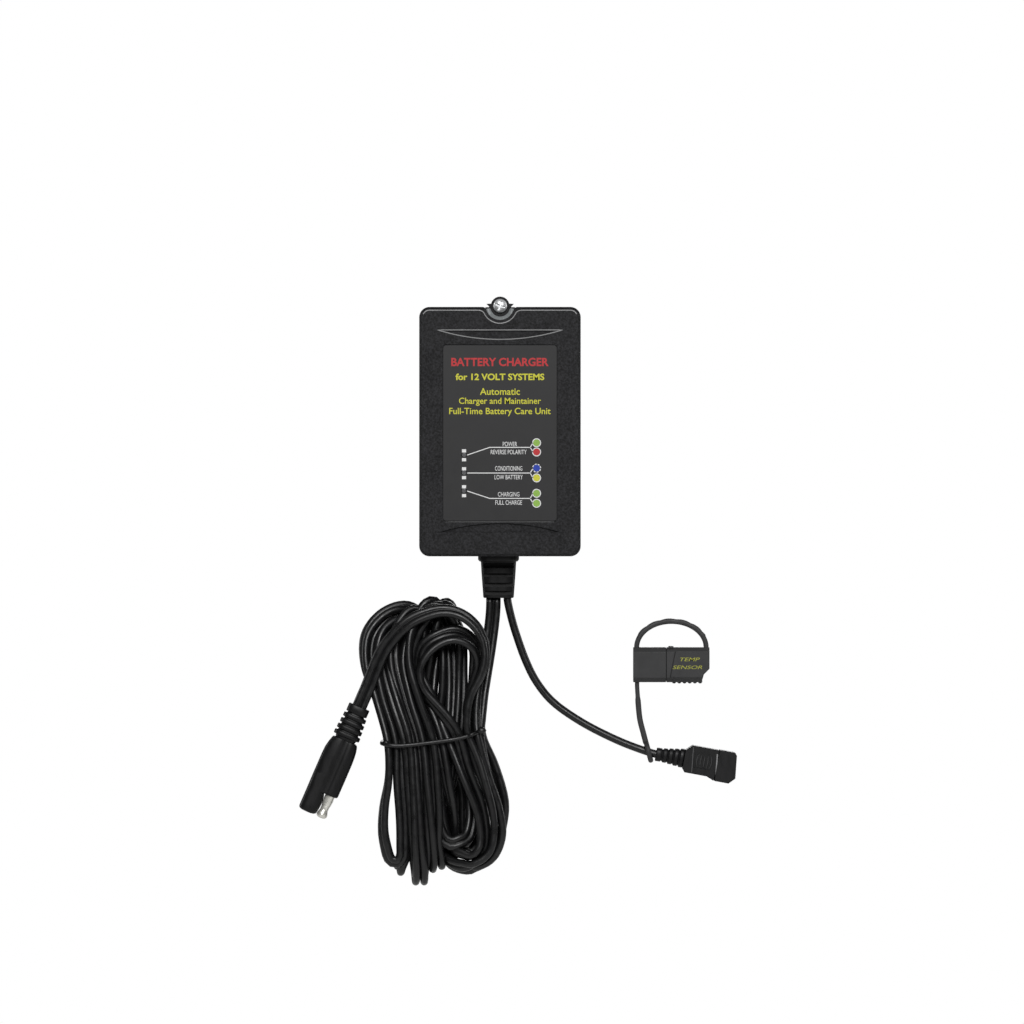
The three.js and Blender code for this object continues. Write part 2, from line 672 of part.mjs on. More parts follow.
// Built hanging straight down from its own origin, then leaned over with its group.
function addPlug() {
  const plug = new THREE.Group();
  plug.position.set(...PLUG_PLACE);
  plug.rotation.y = PLUG_LEAN;
  charger.add(plug);

  const rings = [[8.6, 7, 0, -3], [6.6, 5.2, -2, -PLUG_BOOT + FIT]];
  for (let i = 0; i < 4; i++) {
    const high = -4 - i * 2.5;
    rings.push([9.5 + i * 0.45, 7.2 + i * 0.1, high, high - 1.5]);
  }
  addPiece("plug_boot", geometryOf(stackedOvals(rings, 0, 0)), DARK_RUBBER, plug);

  const half = PLUG_WIDTH / 2;
  const front = polygon([
    [-half + 1, -PLUG_BOOT],
    [-half, -PLUG_BOOT - 3.5],
    [-half, -PLUG_SHOULDER],
    [half, -PLUG_SHOULDER],
    [half, -PLUG_BOOT - 5],
    [half - 0.9, -PLUG_BOOT],
  ]);
  const barrel = column(
    roundedRect(PLUG_WIDTH, PLUG_THICK, PLUG_THICK * 0.46),
    -PLUG_SHOULDER,
    -PLUG_BOOT,
    6,
  );
  const thickness = prism(front, -PLUG_THICK, PLUG_THICK);
  const leg = new THREE.CylinderGeometry(PLUG_LEG, PLUG_LEG, PLUG_END - PLUG_SHOULDER + 4, 20);
  leg.rotateX(Math.PI / 2);
  leg.translate(PLUG_LEG - PLUG_WIDTH / 2, 0, -(PLUG_END + PLUG_SHOULDER - 4) / 2);
  const body = solid(barrel).intersect(solid(thickness)).add(solid(leg));
  const bore = (radius, x, from, to) => {
    const cutter = new THREE.CylinderGeometry(radius, radius, to - from, 12);
    cutter.rotateX(Math.PI / 2);
    return cutter.translate(x, 0, -(from + to) / 2);
  };
  const cutters = [
    bore(2.1, -PLUG_POLE, PLUG_SHOULDER - 2, PLUG_END + 1),
    bore(1.8, PLUG_POLE, PLUG_SHOULDER - 7, PLUG_SHOULDER + 1),
  ];
  addPiece("plug_body", geometryOf(carved(body, cutters)), DARK_RUBBER, plug);

  const pole = (profile, x) => {
    const geometry = new THREE.LatheGeometry(profile.map(([r, z]) => new THREE.Vector2(r, z)), 12);
    geometry.rotateX(Math.PI / 2);
    return geometry.translate(x, 0, 0);
  };
  const pin = [
    [0, -PLUG_END - 0.1],
    [1.3, -PLUG_END + 0.2],
    [2, -PLUG_END + 1.4],
    [2, -PLUG_END + 2.4],
    [1.5, -PLUG_END + 4],
    [1.5, -PLUG_SHOULDER + 6],
    [0, -PLUG_SHOULDER + 6],
  ];
  addPiece("plug_pin", pole(pin, PLUG_POLE), NICKEL, plug);
  const sleeve = [
    [1.4, -PLUG_END + 1],
    [1.8, -PLUG_END + 1],
    [1.8, -PLUG_SHOULDER + 1.4],
    [1.4, -PLUG_SHOULDER + 1.4],
    [1.4, -PLUG_END + 1],
  ];
  addPiece("plug_socket", pole(sleeve, -PLUG_POLE), NICKEL, plug);
}

// ---------- sensor lead and its connector ----------

const SENSOR_ROUTE = [
  [2.9, -CORD_DEPTH, GLAND_END - 2 * FIT],
  [4.7, -CORD_DEPTH, -108.8],
  [7.1, -CORD_DEPTH, -116.6],
  [10, -CORD_DEPTH, -124.5],
  [13.9, -CORD_DEPTH, -132.4],
  [20.2, -CORD_DEPTH, -140.4],
  [31.4, -CORD_DEPTH, -148.5],
  [46, -CORD_DEPTH, -156],
  [56, -CORD_DEPTH, -159.9],
  [60.8, -CORD_DEPTH, -161.4],
];

function addSensorLead() {
  addPiece("sensor_lead", tube(SENSOR_ROUTE, roundSection(LEAD_RADIUS, 8), 20), BLACK_RUBBER);
}

// Built pointing along +X from its own origin, then leaned down with its group.
function addSensorConnector() {
  const connector = new THREE.Group();
  connector.position.set(...SOCKET_PLACE);
  connector.rotation.y = SOCKET_LEAN;
  charger.add(connector);

  const collar = (high, deep, z, from, to) =>
    beam(roundedRect(deep, high, Math.min(high, deep) * 0.4, 0, z), from, to, 2);
  const boot = [collar(5.4, 5, 0, 0, 2), collar(4.4, 4.2, 0.2, 1.5, 10.9)];
  for (let i = 0; i < 4; i++) {
    boot.push(collar(5.8 + i * 0.6, 5.4 + i * 0.4, 0.1 + i * 0.1, 2.9 + i * 2.25, 4.3 + i * 2.25));
  }
  addPiece("sensor_boot", geometryOf(joined(boot)), DARK_RUBBER, connector);

  const bodyOutline = polygon([
    [11.2, -3.6],
    [11.2, 3.9],
    [13.6, 6.2],
    [24, 6.2],
    [24, -6],
    [21, -4.8],
    [12.2, -4.8],
  ]);
  const shell = solid(prism(bodyOutline, -4.3, 4.3));
  const ridges = [];
  for (let i = 0; i < 5; i++) {
    ridges.push(block([15.2 + i * 1.4, 15.9 + i * 1.4], [4.2, 4.7], [-2, 4]));
  }
  addPiece("sensor_connector_body", geometryOf(shell.add(joined(ridges))), DARK_RUBBER, connector);

  const noseOutline = polygon([
    [24.3, -6],
    [24.3, 6.4],
    [30.5, 6.4],
    [31.3, 5.3],
    [32.3, -3.6],
    [30, -6],
  ]);
  const nose = solid(prism(noseOutline, -4.8, 4.8));
  const hole = (z) => {
    const cutter = new THREE.CylinderGeometry(1.4, 1.4, 8, 12);
    cutter.rotateZ(Math.PI / 2);
    return cutter.translate(30, 0, z);
  };
  const poles = [-1, 3.2];
  addPiece("sensor_connector_nose", geometryOf(carved(nose, poles.map(hole))), DARK_RUBBER, connector);
  poles.forEach((z, i) => {
    const profile = [
      [0.6, 26.4],
      [1.1, 26.4],
      [1.1, 31.2],
      [0.6, 31.2],
      [0.6, 26.4],
    ];
    const sleeve = new THREE.LatheGeometry(profile.map(([r, x]) => new THREE.Vector2(r, x)), 12);
    sleeve.rotateZ(-Math.PI / 2);
    addPiece(`sensor_contact_${i + 1}`, sleeve.translate(0, 0, z), BRASS, connector);
  });
}

// ---------- temperature sensor and its cap, tethered to the sensor lead ----------

// The upright bar both halves are cut from, with chamfered long edges.
function tagBar(from, to) {
  const deep = TAG_THICK / 2;
  const outline = polygon([
    [-deep - CORD_DEPTH, TAG_LOW + 1.8],
    [-deep - CORD_DEPTH + 1.4, TAG_LOW],
    [deep - CORD_DEPTH - 1.4, TAG_LOW],
    [deep - CORD_DEPTH, TAG_LOW + 1.8],
    [deep - CORD_DEPTH, TAG_TOP - 1.8],
    [deep - CORD_DEPTH - 1.4, TAG_TOP],
    [-deep - CORD_DEPTH + 1.4, TAG_TOP],
    [-deep - CORD_DEPTH, TAG_TOP - 1.8],
  ]);
  return solid(beam(outline, from, to));
}

const TONGUE = { left: 57, low: -131, high: -121.7, thick: 4.2 };

function addSensorCap() {
  const tongue = TONGUE;
  const pocket = block(
    [tongue.left - FIT, TAG_PART + 1],
    [CORD_DEPTH - tongue.thick / 2 - FIT, CORD_DEPTH + tongue.thick / 2 + FIT],
    [tongue.low - FIT, tongue.high + FIT],
  );
  addPiece("sensor_cap", geometryOf(carved(tagBar(TAG_LEFT, TAG_PART), [pocket])), TAG_GREY);
}

function addSensorModule() {
  const left = TAG_PART + FIT;
  const outline = polygon([
    [left, TAG_LOW - 1],
    [left, TAG_TOP + 1],
    [TAG_RIGHT, TAG_TOP + 1],
    [TAG_RIGHT, TAG_LOW + 5.3],
    [TAG_RIGHT - 2.2, TAG_LOW + 3.1],
    [TAG_RIGHT - 3.4, TAG_LOW - 1],
  ]);
  const back = CORD_DEPTH - TAG_THICK;
  const front = CORD_DEPTH + TAG_THICK;
  let body = tagBar(left, TAG_RIGHT).intersect(solid(prism(outline, back, front)));
  const { left: end, low, high, thick } = TONGUE;
  const tongue = block([end, left + 1], [CORD_DEPTH - thick / 2, CORD_DEPTH + thick / 2], [low, high]);
  const bumps = [];
  for (let i = 0; i < 6; i++) {
    const x = left + 2.9 + i * 2.05;
    bumps.push(rod(0.9, CORD_DEPTH - 2.2, CORD_DEPTH + 2.2, x, TAG_LOW + 0.35, 10));
  }
  body = body.add(joined([tongue, ...bumps]));
  const bore = new THREE.CylinderGeometry(1.3, 1.3, 18, 12);
  bore.rotateZ(Math.PI / 2);
  bore.translate(end + 8, -CORD_DEPTH, (low + high) / 2);
  addPiece("sensor_module", geometryOf(carved(body, [bore])), TAG_GREY);
  const bead = new THREE.CylinderGeometry(1, 1, 12, 10);
  bead.rotateZ(Math.PI / 2);
  bead.translate(end + 9, -CORD_DEPTH, (low + high) / 2);
  addPiece("sensor_bead", bead, BRASS);
}

// A moulded strap that loops from the cap's top to the module's top.
function addLoopStrap() {
  const middle = 67.4;
  const half = 13.7;
  const foot = TAG_TOP + 1.5 * FIT;
  const rise = 9.8;
  const points = [];
  for (let i = 0; i <= 12; i++) {
    const angle = Math.PI * (1 - i / 12);
    const z = foot + rise * Math.sin(angle);
    points.push([middle + half * Math.cos(angle), -CORD_DEPTH, z]);
  }
  addPiece("loop_strap", tube(points, flatSection(4.4, 2.1), 18), TAG_GREY);
}

// The strap that ties the cap to the sensor lead, with a loose eye round the lead.
function addTether() {
  const points = [
    [53.9, -CORD_DEPTH, TAG_LOW - FIT],
    [54.1, -CORD_DEPTH, -138],
    [55, -CORD_DEPTH, -147.7],
    [56.3, -CORD_DEPTH, -153],
    [57.4, -CORD_DEPTH, -157],
  ];
  const strap = tube(points, flatSection(2.6, 1.9), 8);
  const eye = new THREE.TorusGeometry(EYE_RADIUS, EYE_WIRE, 8, 18);
  eye.rotateY(Math.PI / 2 + EYE_LEAN);
  eye.translate(...EYE_PLACE);
  addPiece("tether", geometryOf(joined([strap, eye])), TAG_GREY);
}

// ---------- assembly ----------

addFrontCase();
addRearCase();
addCaseScrews();
addLabel();
addMountingScrew();
addBlades();
addBladeCarrier();
addBoard();
addTransformer();
addCapacitor("bulk_capacitor", 6.5, 7.5, -15, -12);
addCapacitor("output_capacitor_1", 5, 15.5, -6, -59);
addCapacitor("output_capacitor_2", 5, 15.5, 6, -59);
addHeatSink();
addSmallParts();
addLeds();
addInnerWires();
addStrainRelief();
addOutputLead();
addHank();
addTie();
addPlug();
addSensorLead();
addSensorConnector();
addSensorCap();
addSensorModule();
addLoopStrap();
addTether();

export default charger;
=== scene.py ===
"""The looks of the plug-in battery charger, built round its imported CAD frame. Sizes are in millimetres."""

import json
import math

import bmesh
import bpy
import numpy as np
from mathutils import Matrix, Vector


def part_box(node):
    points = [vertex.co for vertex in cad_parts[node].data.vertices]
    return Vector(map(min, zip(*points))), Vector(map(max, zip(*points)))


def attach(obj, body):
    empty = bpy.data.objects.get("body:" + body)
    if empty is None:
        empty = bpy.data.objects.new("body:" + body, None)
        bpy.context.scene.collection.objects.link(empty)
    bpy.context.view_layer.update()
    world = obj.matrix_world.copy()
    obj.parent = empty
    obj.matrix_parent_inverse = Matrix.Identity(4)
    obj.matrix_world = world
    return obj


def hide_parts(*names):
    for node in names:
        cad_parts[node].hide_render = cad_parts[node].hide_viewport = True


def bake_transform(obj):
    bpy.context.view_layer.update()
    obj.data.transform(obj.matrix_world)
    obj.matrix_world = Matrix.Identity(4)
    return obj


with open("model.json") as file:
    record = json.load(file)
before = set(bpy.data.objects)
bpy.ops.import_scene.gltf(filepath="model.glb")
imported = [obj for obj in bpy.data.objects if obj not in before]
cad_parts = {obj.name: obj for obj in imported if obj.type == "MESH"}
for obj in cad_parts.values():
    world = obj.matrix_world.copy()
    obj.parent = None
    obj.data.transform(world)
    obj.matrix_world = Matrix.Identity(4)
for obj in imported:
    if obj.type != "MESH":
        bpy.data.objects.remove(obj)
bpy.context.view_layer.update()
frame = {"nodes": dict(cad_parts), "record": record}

# ---------- driving dimensions ----------

MM = 0.001
DEPTH_WAY = (0, 1, 0)

VIEW_CENTRE = (4.7, -66.3)  # x and z of the camera's axis
VIEW_DISTANCE = 2500
VIEW_LENS = 225.3
CASE_FRONT = -44

CORD_Y = -22  # plane that the cords leave the case in
TWIN_WIDTH = 5.8
TWIN_THICK = 3.0
LEAD_RADIUS = 1.55
GLAND_EXIT = (-2.6, CORD_Y, -100.1)

PLUG_LEAN = math.radians(23.4)
PLUG_PLACE = (-55.1, -29, -142.6)

WAIST_Z = -155  # height of the tie at the bundle's middle
WAIST_TILT = math.tan(math.radians(5.5))
WAIST_X = -27
BUNDLE_BACK = -12.9
BUNDLE_FRONT = -31.2
BUNDLE_LOW = -210.8
ARCH_LENGTH = 112  # length of lead from the bundle's front to the plug
ROLL_MIDDLE = 24  # degrees that the flat lead is rolled in the bundle, and how far that varies
ROLL_SWING = 30


# ---------- camera ----------


def add_camera():
    data = bpy.data.cameras.new("view")
    data.sensor_width = 36
    data.lens = VIEW_LENS
    data.clip_start = 0.1
    data.clip_end = 20
    camera = bpy.data.objects.new("view", data)
    camera.location = (
        VIEW_CENTRE[0] * MM,
        (CASE_FRONT + 1 - VIEW_DISTANCE) * MM,
        VIEW_CENTRE[1] * MM,
    )
    camera.rotation_euler = (math.radians(90), 0, 0)
    bpy.context.scene.collection.objects.link(camera)
    bpy.context.scene.camera = camera


# ---------- meshes ----------


def add_object(name, mesh, material, body="charger"):
    obj = bpy.data.objects.new(name, mesh)
    bpy.context.scene.collection.objects.link(obj)
    mesh.materials.append(material)
    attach(obj, body)
    return obj


def add_piece(name, mesh, slot, body="charger"):
    """Adds a piece with the finish of a material slot."""
    return add_object(name, mesh, FINISHES[slot], body)


def mesh_of(name, points, faces, smooth=True):
    mesh = bpy.data.meshes.new(name)
    mesh.from_pydata([tuple(p) for p in points], [], [tuple(f) for f in faces])
    mesh.update()
    for polygon in mesh.polygons:
        polygon.use_smooth = smooth
    return mesh


def smooth_line(points, step):
    """A Catmull-Rom line through points, with points about step apart along it."""
    p = np.array(points, float)
    p = np.vstack([2 * p[0] - p[1], p, 2 * p[-1] - p[-2]])
    fine = []
    for a, b, c, d in zip(p[:-3], p[1:-2], p[2:-1], p[3:]):
        t1 = max(np.linalg.norm(b - a), 1e-6) ** 0.5
        t2 = t1 + max(np.linalg.norm(c - b), 1e-6) ** 0.5
        t3 = t2 + max(np.linalg.norm(d - c), 1e-6) ** 0.5
        for t in np.linspace(t1, t2, 12, endpoint=False):
            ab = a + (b - a) * t / t1
            bc = b + (c - b) * (t - t1) / (t2 - t1)
            cd = c + (d - c) * (t - t2) / (t3 - t2)
            abc = ab + (bc - ab) * t / t2
            bcd = bc + (cd - bc) * (t - t1) / (t3 - t1)
            fine.append(abc + (bcd - abc) * (t - t1) / (t2 - t1))
    fine.append(p[-2])
    return respaced(np.array(fine), step)


def respaced(line, step):
    along = np.concatenate([[0], np.cumsum(np.linalg.norm(np.diff(line, axis=0), axis=1))])
    at = np.linspace(0, along[-1], max(2, round(along[-1] / step) + 1))
    return np.stack([np.interp(at, along, line[:, k]) for k in range(3)], axis=1)


def tangents(line):
    d = np.gradient(line, axis=0)
    return d / np.linalg.norm(d, axis=1, keepdims=True)


def blurred(values, reach):
    """Values along a line, smoothed over reach points to each side."""
    kernel = np.hanning(2 * reach + 3)[1:-1]
    kernel /= kernel.sum()
    padded = np.pad(values, [(reach, reach)] + [(0, 0)] * (values.ndim - 1), mode="edge")
    flat = padded.reshape(len(padded), -1)
    out = np.stack([np.convolve(flat[:, k], kernel, mode="valid") for k in range(flat.shape[1])], 1)
    return out.reshape(values.shape)


def tube_faces(rows, count):
    """The sides and the two end caps of a tube of rows that have count points each."""
    faces = []
    for i in range(rows - 1):
        for j in range(count):
            k = (j + 1) % count
            faces.append((i * count + j, i * count + k, (i + 1) * count + k, (i + 1) * count + j))
    faces.append(tuple(range(count - 1, -1, -1)))
    last = (rows - 1) * count
    faces.append(tuple(range(last, last + count)))
    return faces


def swept(name, line, wide, section):
    """A closed section of (wide, thin) points carried along a line.

    The way that the width lies, and the section, are each one for the whole line or one for each point.
    """
    wide = np.broadcast_to(np.array(wide, float), line.shape)
    along = tangents(line)
    across = wide - (wide * along).sum(1, keepdims=True) * along
    across /= np.linalg.norm(across, axis=1, keepdims=True)
    thin = np.cross(along, across)
    section = np.array(section, float)
    if section.ndim == 2:
        section = np.repeat(section[None], len(line), 0)
    rings = (
        line[:, None, :]
        + section[:, :, :1] * across[:, None, :]
        + section[:, :, 1:] * thin[:, None, :]
    )
    return mesh_of(name, rings.reshape(-1, 3) * MM, tube_faces(len(line), section.shape[1]))


def round_section(radius, sides=16):
    turn = np.linspace(0, 2 * math.pi, sides, endpoint=False)
    return [(radius * math.cos(a), radius * math.sin(a)) for a in turn]


def twin_section():
    """Two round cores moulded together, with a groove on each side between them."""
    core = TWIN_THICK / 2
    middle = TWIN_WIDTH / 2 - core
    quarter = [(0.0, 0.66)]
    for degrees in (146, 130, 112, 94, 74, 54, 33, 11):
        angle = math.radians(degrees)
        quarter.append((middle + core * math.cos(angle), core * math.sin(angle)))
    upper = quarter + [(x, -y) for x, y in reversed(quarter)]
    left = [(-x, y) for x, y in reversed(quarter)][:-1]
    lower = [(-x, -y) for x, y in quarter][1:]
    return upper + lower + left


# ---------- route of the output lead ----------

# The bundle's rows at the waist, front, middle and back: depth, and the x of each place.
ROWS = {
    "F": (-30.2, [-42.6, -39.8, -37.0, -33.7, -30.4, -27.0, -24.0, -20.9, -17.2, -12.8, -8.4]),
    "M": (-23.2, [-40.4, -36.0, -32.0, -28.0, -24.0, -20.0, -16.0, -12.0, -8.8]),
    "B": (-15.6, [-38.6, -34.6, -30.4, -26.2, -22.0, -17.8, -13.6, -9.8]),
}
# The places in the order that the lead passes them.
ORDER = (
    "F10 B5 M2 F5 M6 F8 M7 M3 F1 F0 B2 F4 M5 F7 B6 M8 B7 M4 F3 M1 B0 M0 B1 F2 B3 F6 B4 F9"
).split()
# Points that each fold passes on its way from one place in the waist to the next: (x, depth, z).
LOW_FOLDS = [
    [(-5.2, -30, -170), (-0.6, -29.5, -183), (0.7, -29, -193), (-3, -28, -201.8), (-11, -27.5, -205.4),
     (-19.5, -24, -203), (-23, -18, -194)],
    [(-29, -20, -175), (-25.5, -16.5, -193), (-24, -21.5, -205), (-24.2, -28.6, -194),
     (-25.2, -30.6, -175)],
    [(-20, -20, -178), (-23.6, -19.5, -192), (-18, -22.5, -201.5), (-10, -25, -202.6),
     (-5.2, -26.4, -195), (-7.4, -28, -181), (-12.6, -29.6, -168)],
    [(-11.8, -24, -172), (-10.6, -25, -186), (-13, -26.5, -196), (-18.4, -27, -199), (-23, -25.5, -194),
     (-25.4, -23, -178)],
    [(-38.6, -30.5, -171), (-37.4, -30, -184), (-37.8, -28.5, -197), (-40.6, -27.5, -206),
     (-44, -28.5, -200.5), (-45.7, -29.4, -192), (-45.3, -30, -182), (-43, -30.6, -170)],
    [(-30.4, -14.6, -178), (-27.8, -16, -196), (-26.6, -22.5, -206.4), (-26.8, -29.4, -196),
     (-28.6, -30.8, -176)],
    [(-22.4, -21.5, -178), (-22, -22, -192), (-17.6, -27, -200), (-12.4, -29.4, -201.8),
     (-7.8, -30, -196), (-8.4, -30.6, -186), (-13.6, -31, -172)],
    [(-7.6, -14.6, -175), (-5.4, -15, -190), (-3.2, -17.5, -201.2), (0.4, -20, -193), (1.6, -21.5, -181),
     (-3, -22.6, -166)],
    [(-12.4, -14.4, -170), (-12.6, -14.4, -184), (-11.2, -15, -196), (-14.2, -17, -200.2),
     (-16.4, -19, -190), (-16.4, -20, -176)],
    [(-32, -30.8, -177), (-30.4, -29.4, -199), (-29.6, -22.5, -210.6), (-31.2, -16.4, -198),
     (-34, -18, -176)],
    [(-37.4, -15, -178), (-37.6, -17.6, -196), (-39.6, -23.4, -208.2), (-36.8, -27, -200),
     (-37.6, -25.4, -178)],
    [(-36, -14.6, -178), (-34.6, -16.6, -200), (-33.2, -23.4, -210.7), (-33.6, -30, -200),
     (-35.4, -31, -176)],
    [(-24, -14, -176), (-21.4, -14, -190), (-19.8, -18.5, -196.6), (-18.6, -24, -188),
     (-20.4, -28.6, -176)],
    [(-25.4, -15, -180), (-25.2, -16.6, -194), (-20.4, -23.6, -203), (-12.2, -27, -204.7),
     (-4, -27.6, -199.4), (-2.4, -28.6, -188), (-7, -30, -170)],
]
HIGH_FOLDS = [
    [(-22.2, -13.6, -131), (-20, -15.5, -108), (-22.4, -19.6, -102.4), (-25.2, -24, -108.5),
     (-29, -24.6, -132)],
    [(-31.6, -29.6, -140), (-35.6, -27.4, -124), (-33, -25, -110), (-24, -22, -103.4),
     (-16.4, -19.6, -112), (-15.2, -20.4, -130)],
    [(-25, -31, -144.6), (-31.4, -30.4, -136), (-32, -30, -127.4), (-26.2, -29.4, -119.6),
     (-17.6, -28.6, -116.2), (-10.8, -27.6, -119.4), (-8.3, -26, -125.5), (-9.4, -25.2, -131),
     (-12.4, -24.4, -142)],
    [(-26, -18.6, -132), (-25.4, -17, -116), (-34.6, -19.6, -108.4), (-44.4, -22.4, -113),
     (-47.6, -25, -123), (-45.2, -27.4, -137)],
    [(-48.6, -27, -138.6), (-53, -25, -126), (-52.4, -23, -114), (-44.6, -20.6, -105.4),
     (-35.6, -18, -103.9), (-28.6, -15.4, -111), (-27.6, -14.4, -130)],
    [(-35.6, -29, -138), (-38.6, -26.4, -124), (-35, -23.6, -110.6), (-26, -21.5, -101.2),
     (-20.4, -18.6, -112), (-19, -20.4, -132)],
    [(-25.8, -29.8, -142), (-33.4, -27.4, -130), (-31.6, -26.6, -120), (-24.6, -26, -114.8),
     (-15.6, -25, -113.4), (-8.6, -23.4, -119.6), (-8.4, -20.4, -131), (-11.6, -16.6, -143)],
    [(-8.2, -22, -140), (-7.4, -21.4, -127), (-7.6, -18, -116.5), (-8, -15.5, -121), (-8.6, -14, -138)],
    [(-22.6, -21.6, -134), (-24, -19.6, -116), (-31.6, -20.4, -105.6), (-40, -22.6, -113.4),
     (-42, -25.6, -125), (-38.4, -28.6, -141)],
    [(-32.4, -22.4, -132), (-30.4, -23.4, -109.5), (-28.2, -19.4, -101.8), (-27, -15, -109),
     (-35, -13.6, -132)],
    [(-46.4, -23, -139), (-50.2, -21.6, -126), (-49.4, -20, -115.4), (-42.4, -17.6, -107.6),
     (-34, -15.4, -107.8), (-30.4, -13.8, -118), (-32, -14, -138)],
    [(-41.4, -28.4, -140), (-44.8, -25.4, -126), (-42.6, -21, -113.6), (-35, -16.6, -110.6),
     (-28, -14.4, -118), (-26.4, -14, -138)],
    [(-29, -29.8, -140), (-34.4, -27.6, -126), (-31.6, -24, -111), (-21.4, -20, -102.4),
     (-17, -15.6, -116), (-17, -14, -136)],
]
LEAD_IN = [
    GLAND_EXIT,
    (-2.7, -22, -105),
    (-3.4, -22, -111.9),
    (-4.6, -22.8, -120.6),
    (-6.2, -24.4, -130.5),
    (-7.6, -27, -139.5),
    (-8.3, -29.4, -148),
]
ARCH = [
    (-12.9, -31, -144.6),
    (-11.2, -31.2, -137.4),
    (-7.6, -31.4, -130.8),
    (-5.7, -31.4, -123.4),
    (-6.4, -31.2, -116.8),
    (-9.4, -31.2, -111.2),
    (-14.2, -31.2, -107),
    (-19.6, -31.2, -105),
    (-25, -31.2, -104.9),
    (-30.4, -31.2, -106.7),
    (-36, -31, -109.9),
    (-41.2, -30.6, -114.6),
    (-45.8, -30, -120.6),
    (-49, -29.4, -127.6),
    (-51.7, -29, -134.7),
    (-53.4, -29, -138.6),
    (-55.0, -29, -142.3),
    (-56.6, -29, -146.1),
]
ROUTE_STEP = 2.8
TIP_SPREAD = 14  # a fold narrower than this gets a shoulder on each side of its tip
TIP_REACH = 4  # how far a shoulder lies from the tip at most, and as a share of the fold's width
TIP_SHARE = 0.36
TIP_SLOPE = 0.75

SETTLE_ROUNDS = 110
FLAT_ROUNDS = 15  # rounds between two looks at the way the flat lead lies
FIXED_START = 14  # points at the case, and at the plug, that stay where they are
FIXED_END = 10
NEAR_POINTS = 4  # points this near along the lead don't push each other
CLOSENESS = 0.97  # how near two strands may lie, as a share of touching
PUSH_LIMIT = 1.2
PUSH_SHARE = 0.4
HOLD = (0.96, 0.985, 0.96)  # share of its shift that a point keeps along x, y and z
EVEN_SHARE = 0.4
SETTLED_STEP = 1.6
FOLD_RADIUS = 3.2  # bends tighter than this are eased towards it
LEAD_STEP = 1.7

FLAT_REACH = 16  # length of lead over which the way its width lies is evened out
ROLL_RATE = 0.043
ROLL_WANDER = 1.3
WANDER_RATE = 0.011
FLAT_EXIT = 34  # length of lead that lies flat below the case, and how soon it turns after that
FLAT_FADE = 26
ARCH_END = 6
ARCH_FADE = 20


def waist_place(name):
    depth, places = ROWS[name[0]]
    x = places[int(name[1:])]
    return (x, depth, WAIST_Z + (x - WAIST_X) * WAIST_TILT)


def rounded_tip(fold, top):
    """A fold's points, with a shoulder on each side of its tip where the two sides lie close together."""
    heights = [point[2] if top else -point[2] for point in fold]
    at = heights.index(max(heights))
    before, tip, after = (np.array(p, float) for p in fold[at - 1 : at + 2])
    side = after - before
    side[2] = 0
    wide = np.linalg.norm(side)
    if wide > TIP_SPREAD:
        return list(fold)
    far = min(TIP_REACH, TIP_SHARE * wide)
    reach = far * side / wide
    drop = np.array([0, 0, TIP_SLOPE * far * (1 if top else -1)])
    return [*fold[:at], tuple(tip - reach - drop), fold[at], tuple(tip + reach - drop), *fold[at + 1 :]]


def hank_route():
    """The whole output lead from the strain relief to the plug, as control points."""
    points = list(LEAD_IN)
    for i, name in enumerate(ORDER):
        points.append(waist_place(name))
        if i + 1 < len(ORDER):
            folds = HIGH_FOLDS if i % 2 else LOW_FOLDS
            points += rounded_tip(folds[i // 2], i % 2 == 1)
    return points + ARCH


def smooth_step(value):
    value = np.clip(value, 0, 1)
    return value * value * (3 - 2 * value)


def flat_ways(line):
    """The way that the flat lead's width lies at each point of its line.

    It lies across the front where the lead leaves the case, front to back in the bundle's runs, where it
    also rolls slowly from side to side, and it turns flat to the front again along the last arch.
    """
    along = tangents(line)
    step = np.linalg.norm(np.diff(line, axis=0), axis=1)
    run = np.concatenate([[0], np.cumsum(step)])
    left = run[-1] - run
    side = np.cross([1.0, 0.0, 0.0], along)
    spread = blurred(np.einsum("ni,nj->nij", side, side), max(2, round(FLAT_REACH / step.mean())))
    flat = np.eye(3) - np.einsum("ni,nj->nij", along, along)
    spread = np.einsum("nij,njk,nkl->nil", flat, spread, flat)
    wide = np.linalg.eigh(spread)[1][:, :, -1]
    for i in range(1, len(wide)):
        if wide[i] @ wide[i - 1] < 0:
            wide[i] = -wide[i]
    wave = np.sin(run * ROLL_RATE + ROLL_WANDER * np.sin(run * WANDER_RATE))
    roll = math.radians(ROLL_MIDDLE) + math.radians(ROLL_SWING) * wave
    wide = wide * np.cos(roll)[:, None] + np.cross(along, wide) * np.sin(roll)[:, None]

    across = np.tile([1.0, 0.0, 0.0], (len(line), 1))
    across *= np.sign((wide * across).sum(1).mean() or 1)
    share = smooth_step((run - FLAT_EXIT) / FLAT_FADE)[:, None]
    wide = wide * share + across * (1 - share)

    turn = (math.pi / 2) * smooth_step((ARCH_LENGTH - left) / (ARCH_LENGTH - ARCH_END))
    depth = np.array([0.0, 1.0, 0.0])
    arch = depth * np.cos(turn)[:, None] + np.cross(depth, along) * np.sin(turn)[:, None]
    arch *= 1 if (arch * wide)[left < ARCH_LENGTH].sum() > 0 else -1
    share = smooth_step((left - ARCH_LENGTH) / ARCH_FADE)[:, None]
    wide = wide * share + arch * (1 - share)
    return wide / np.linalg.norm(wide, axis=1, keepdims=True)


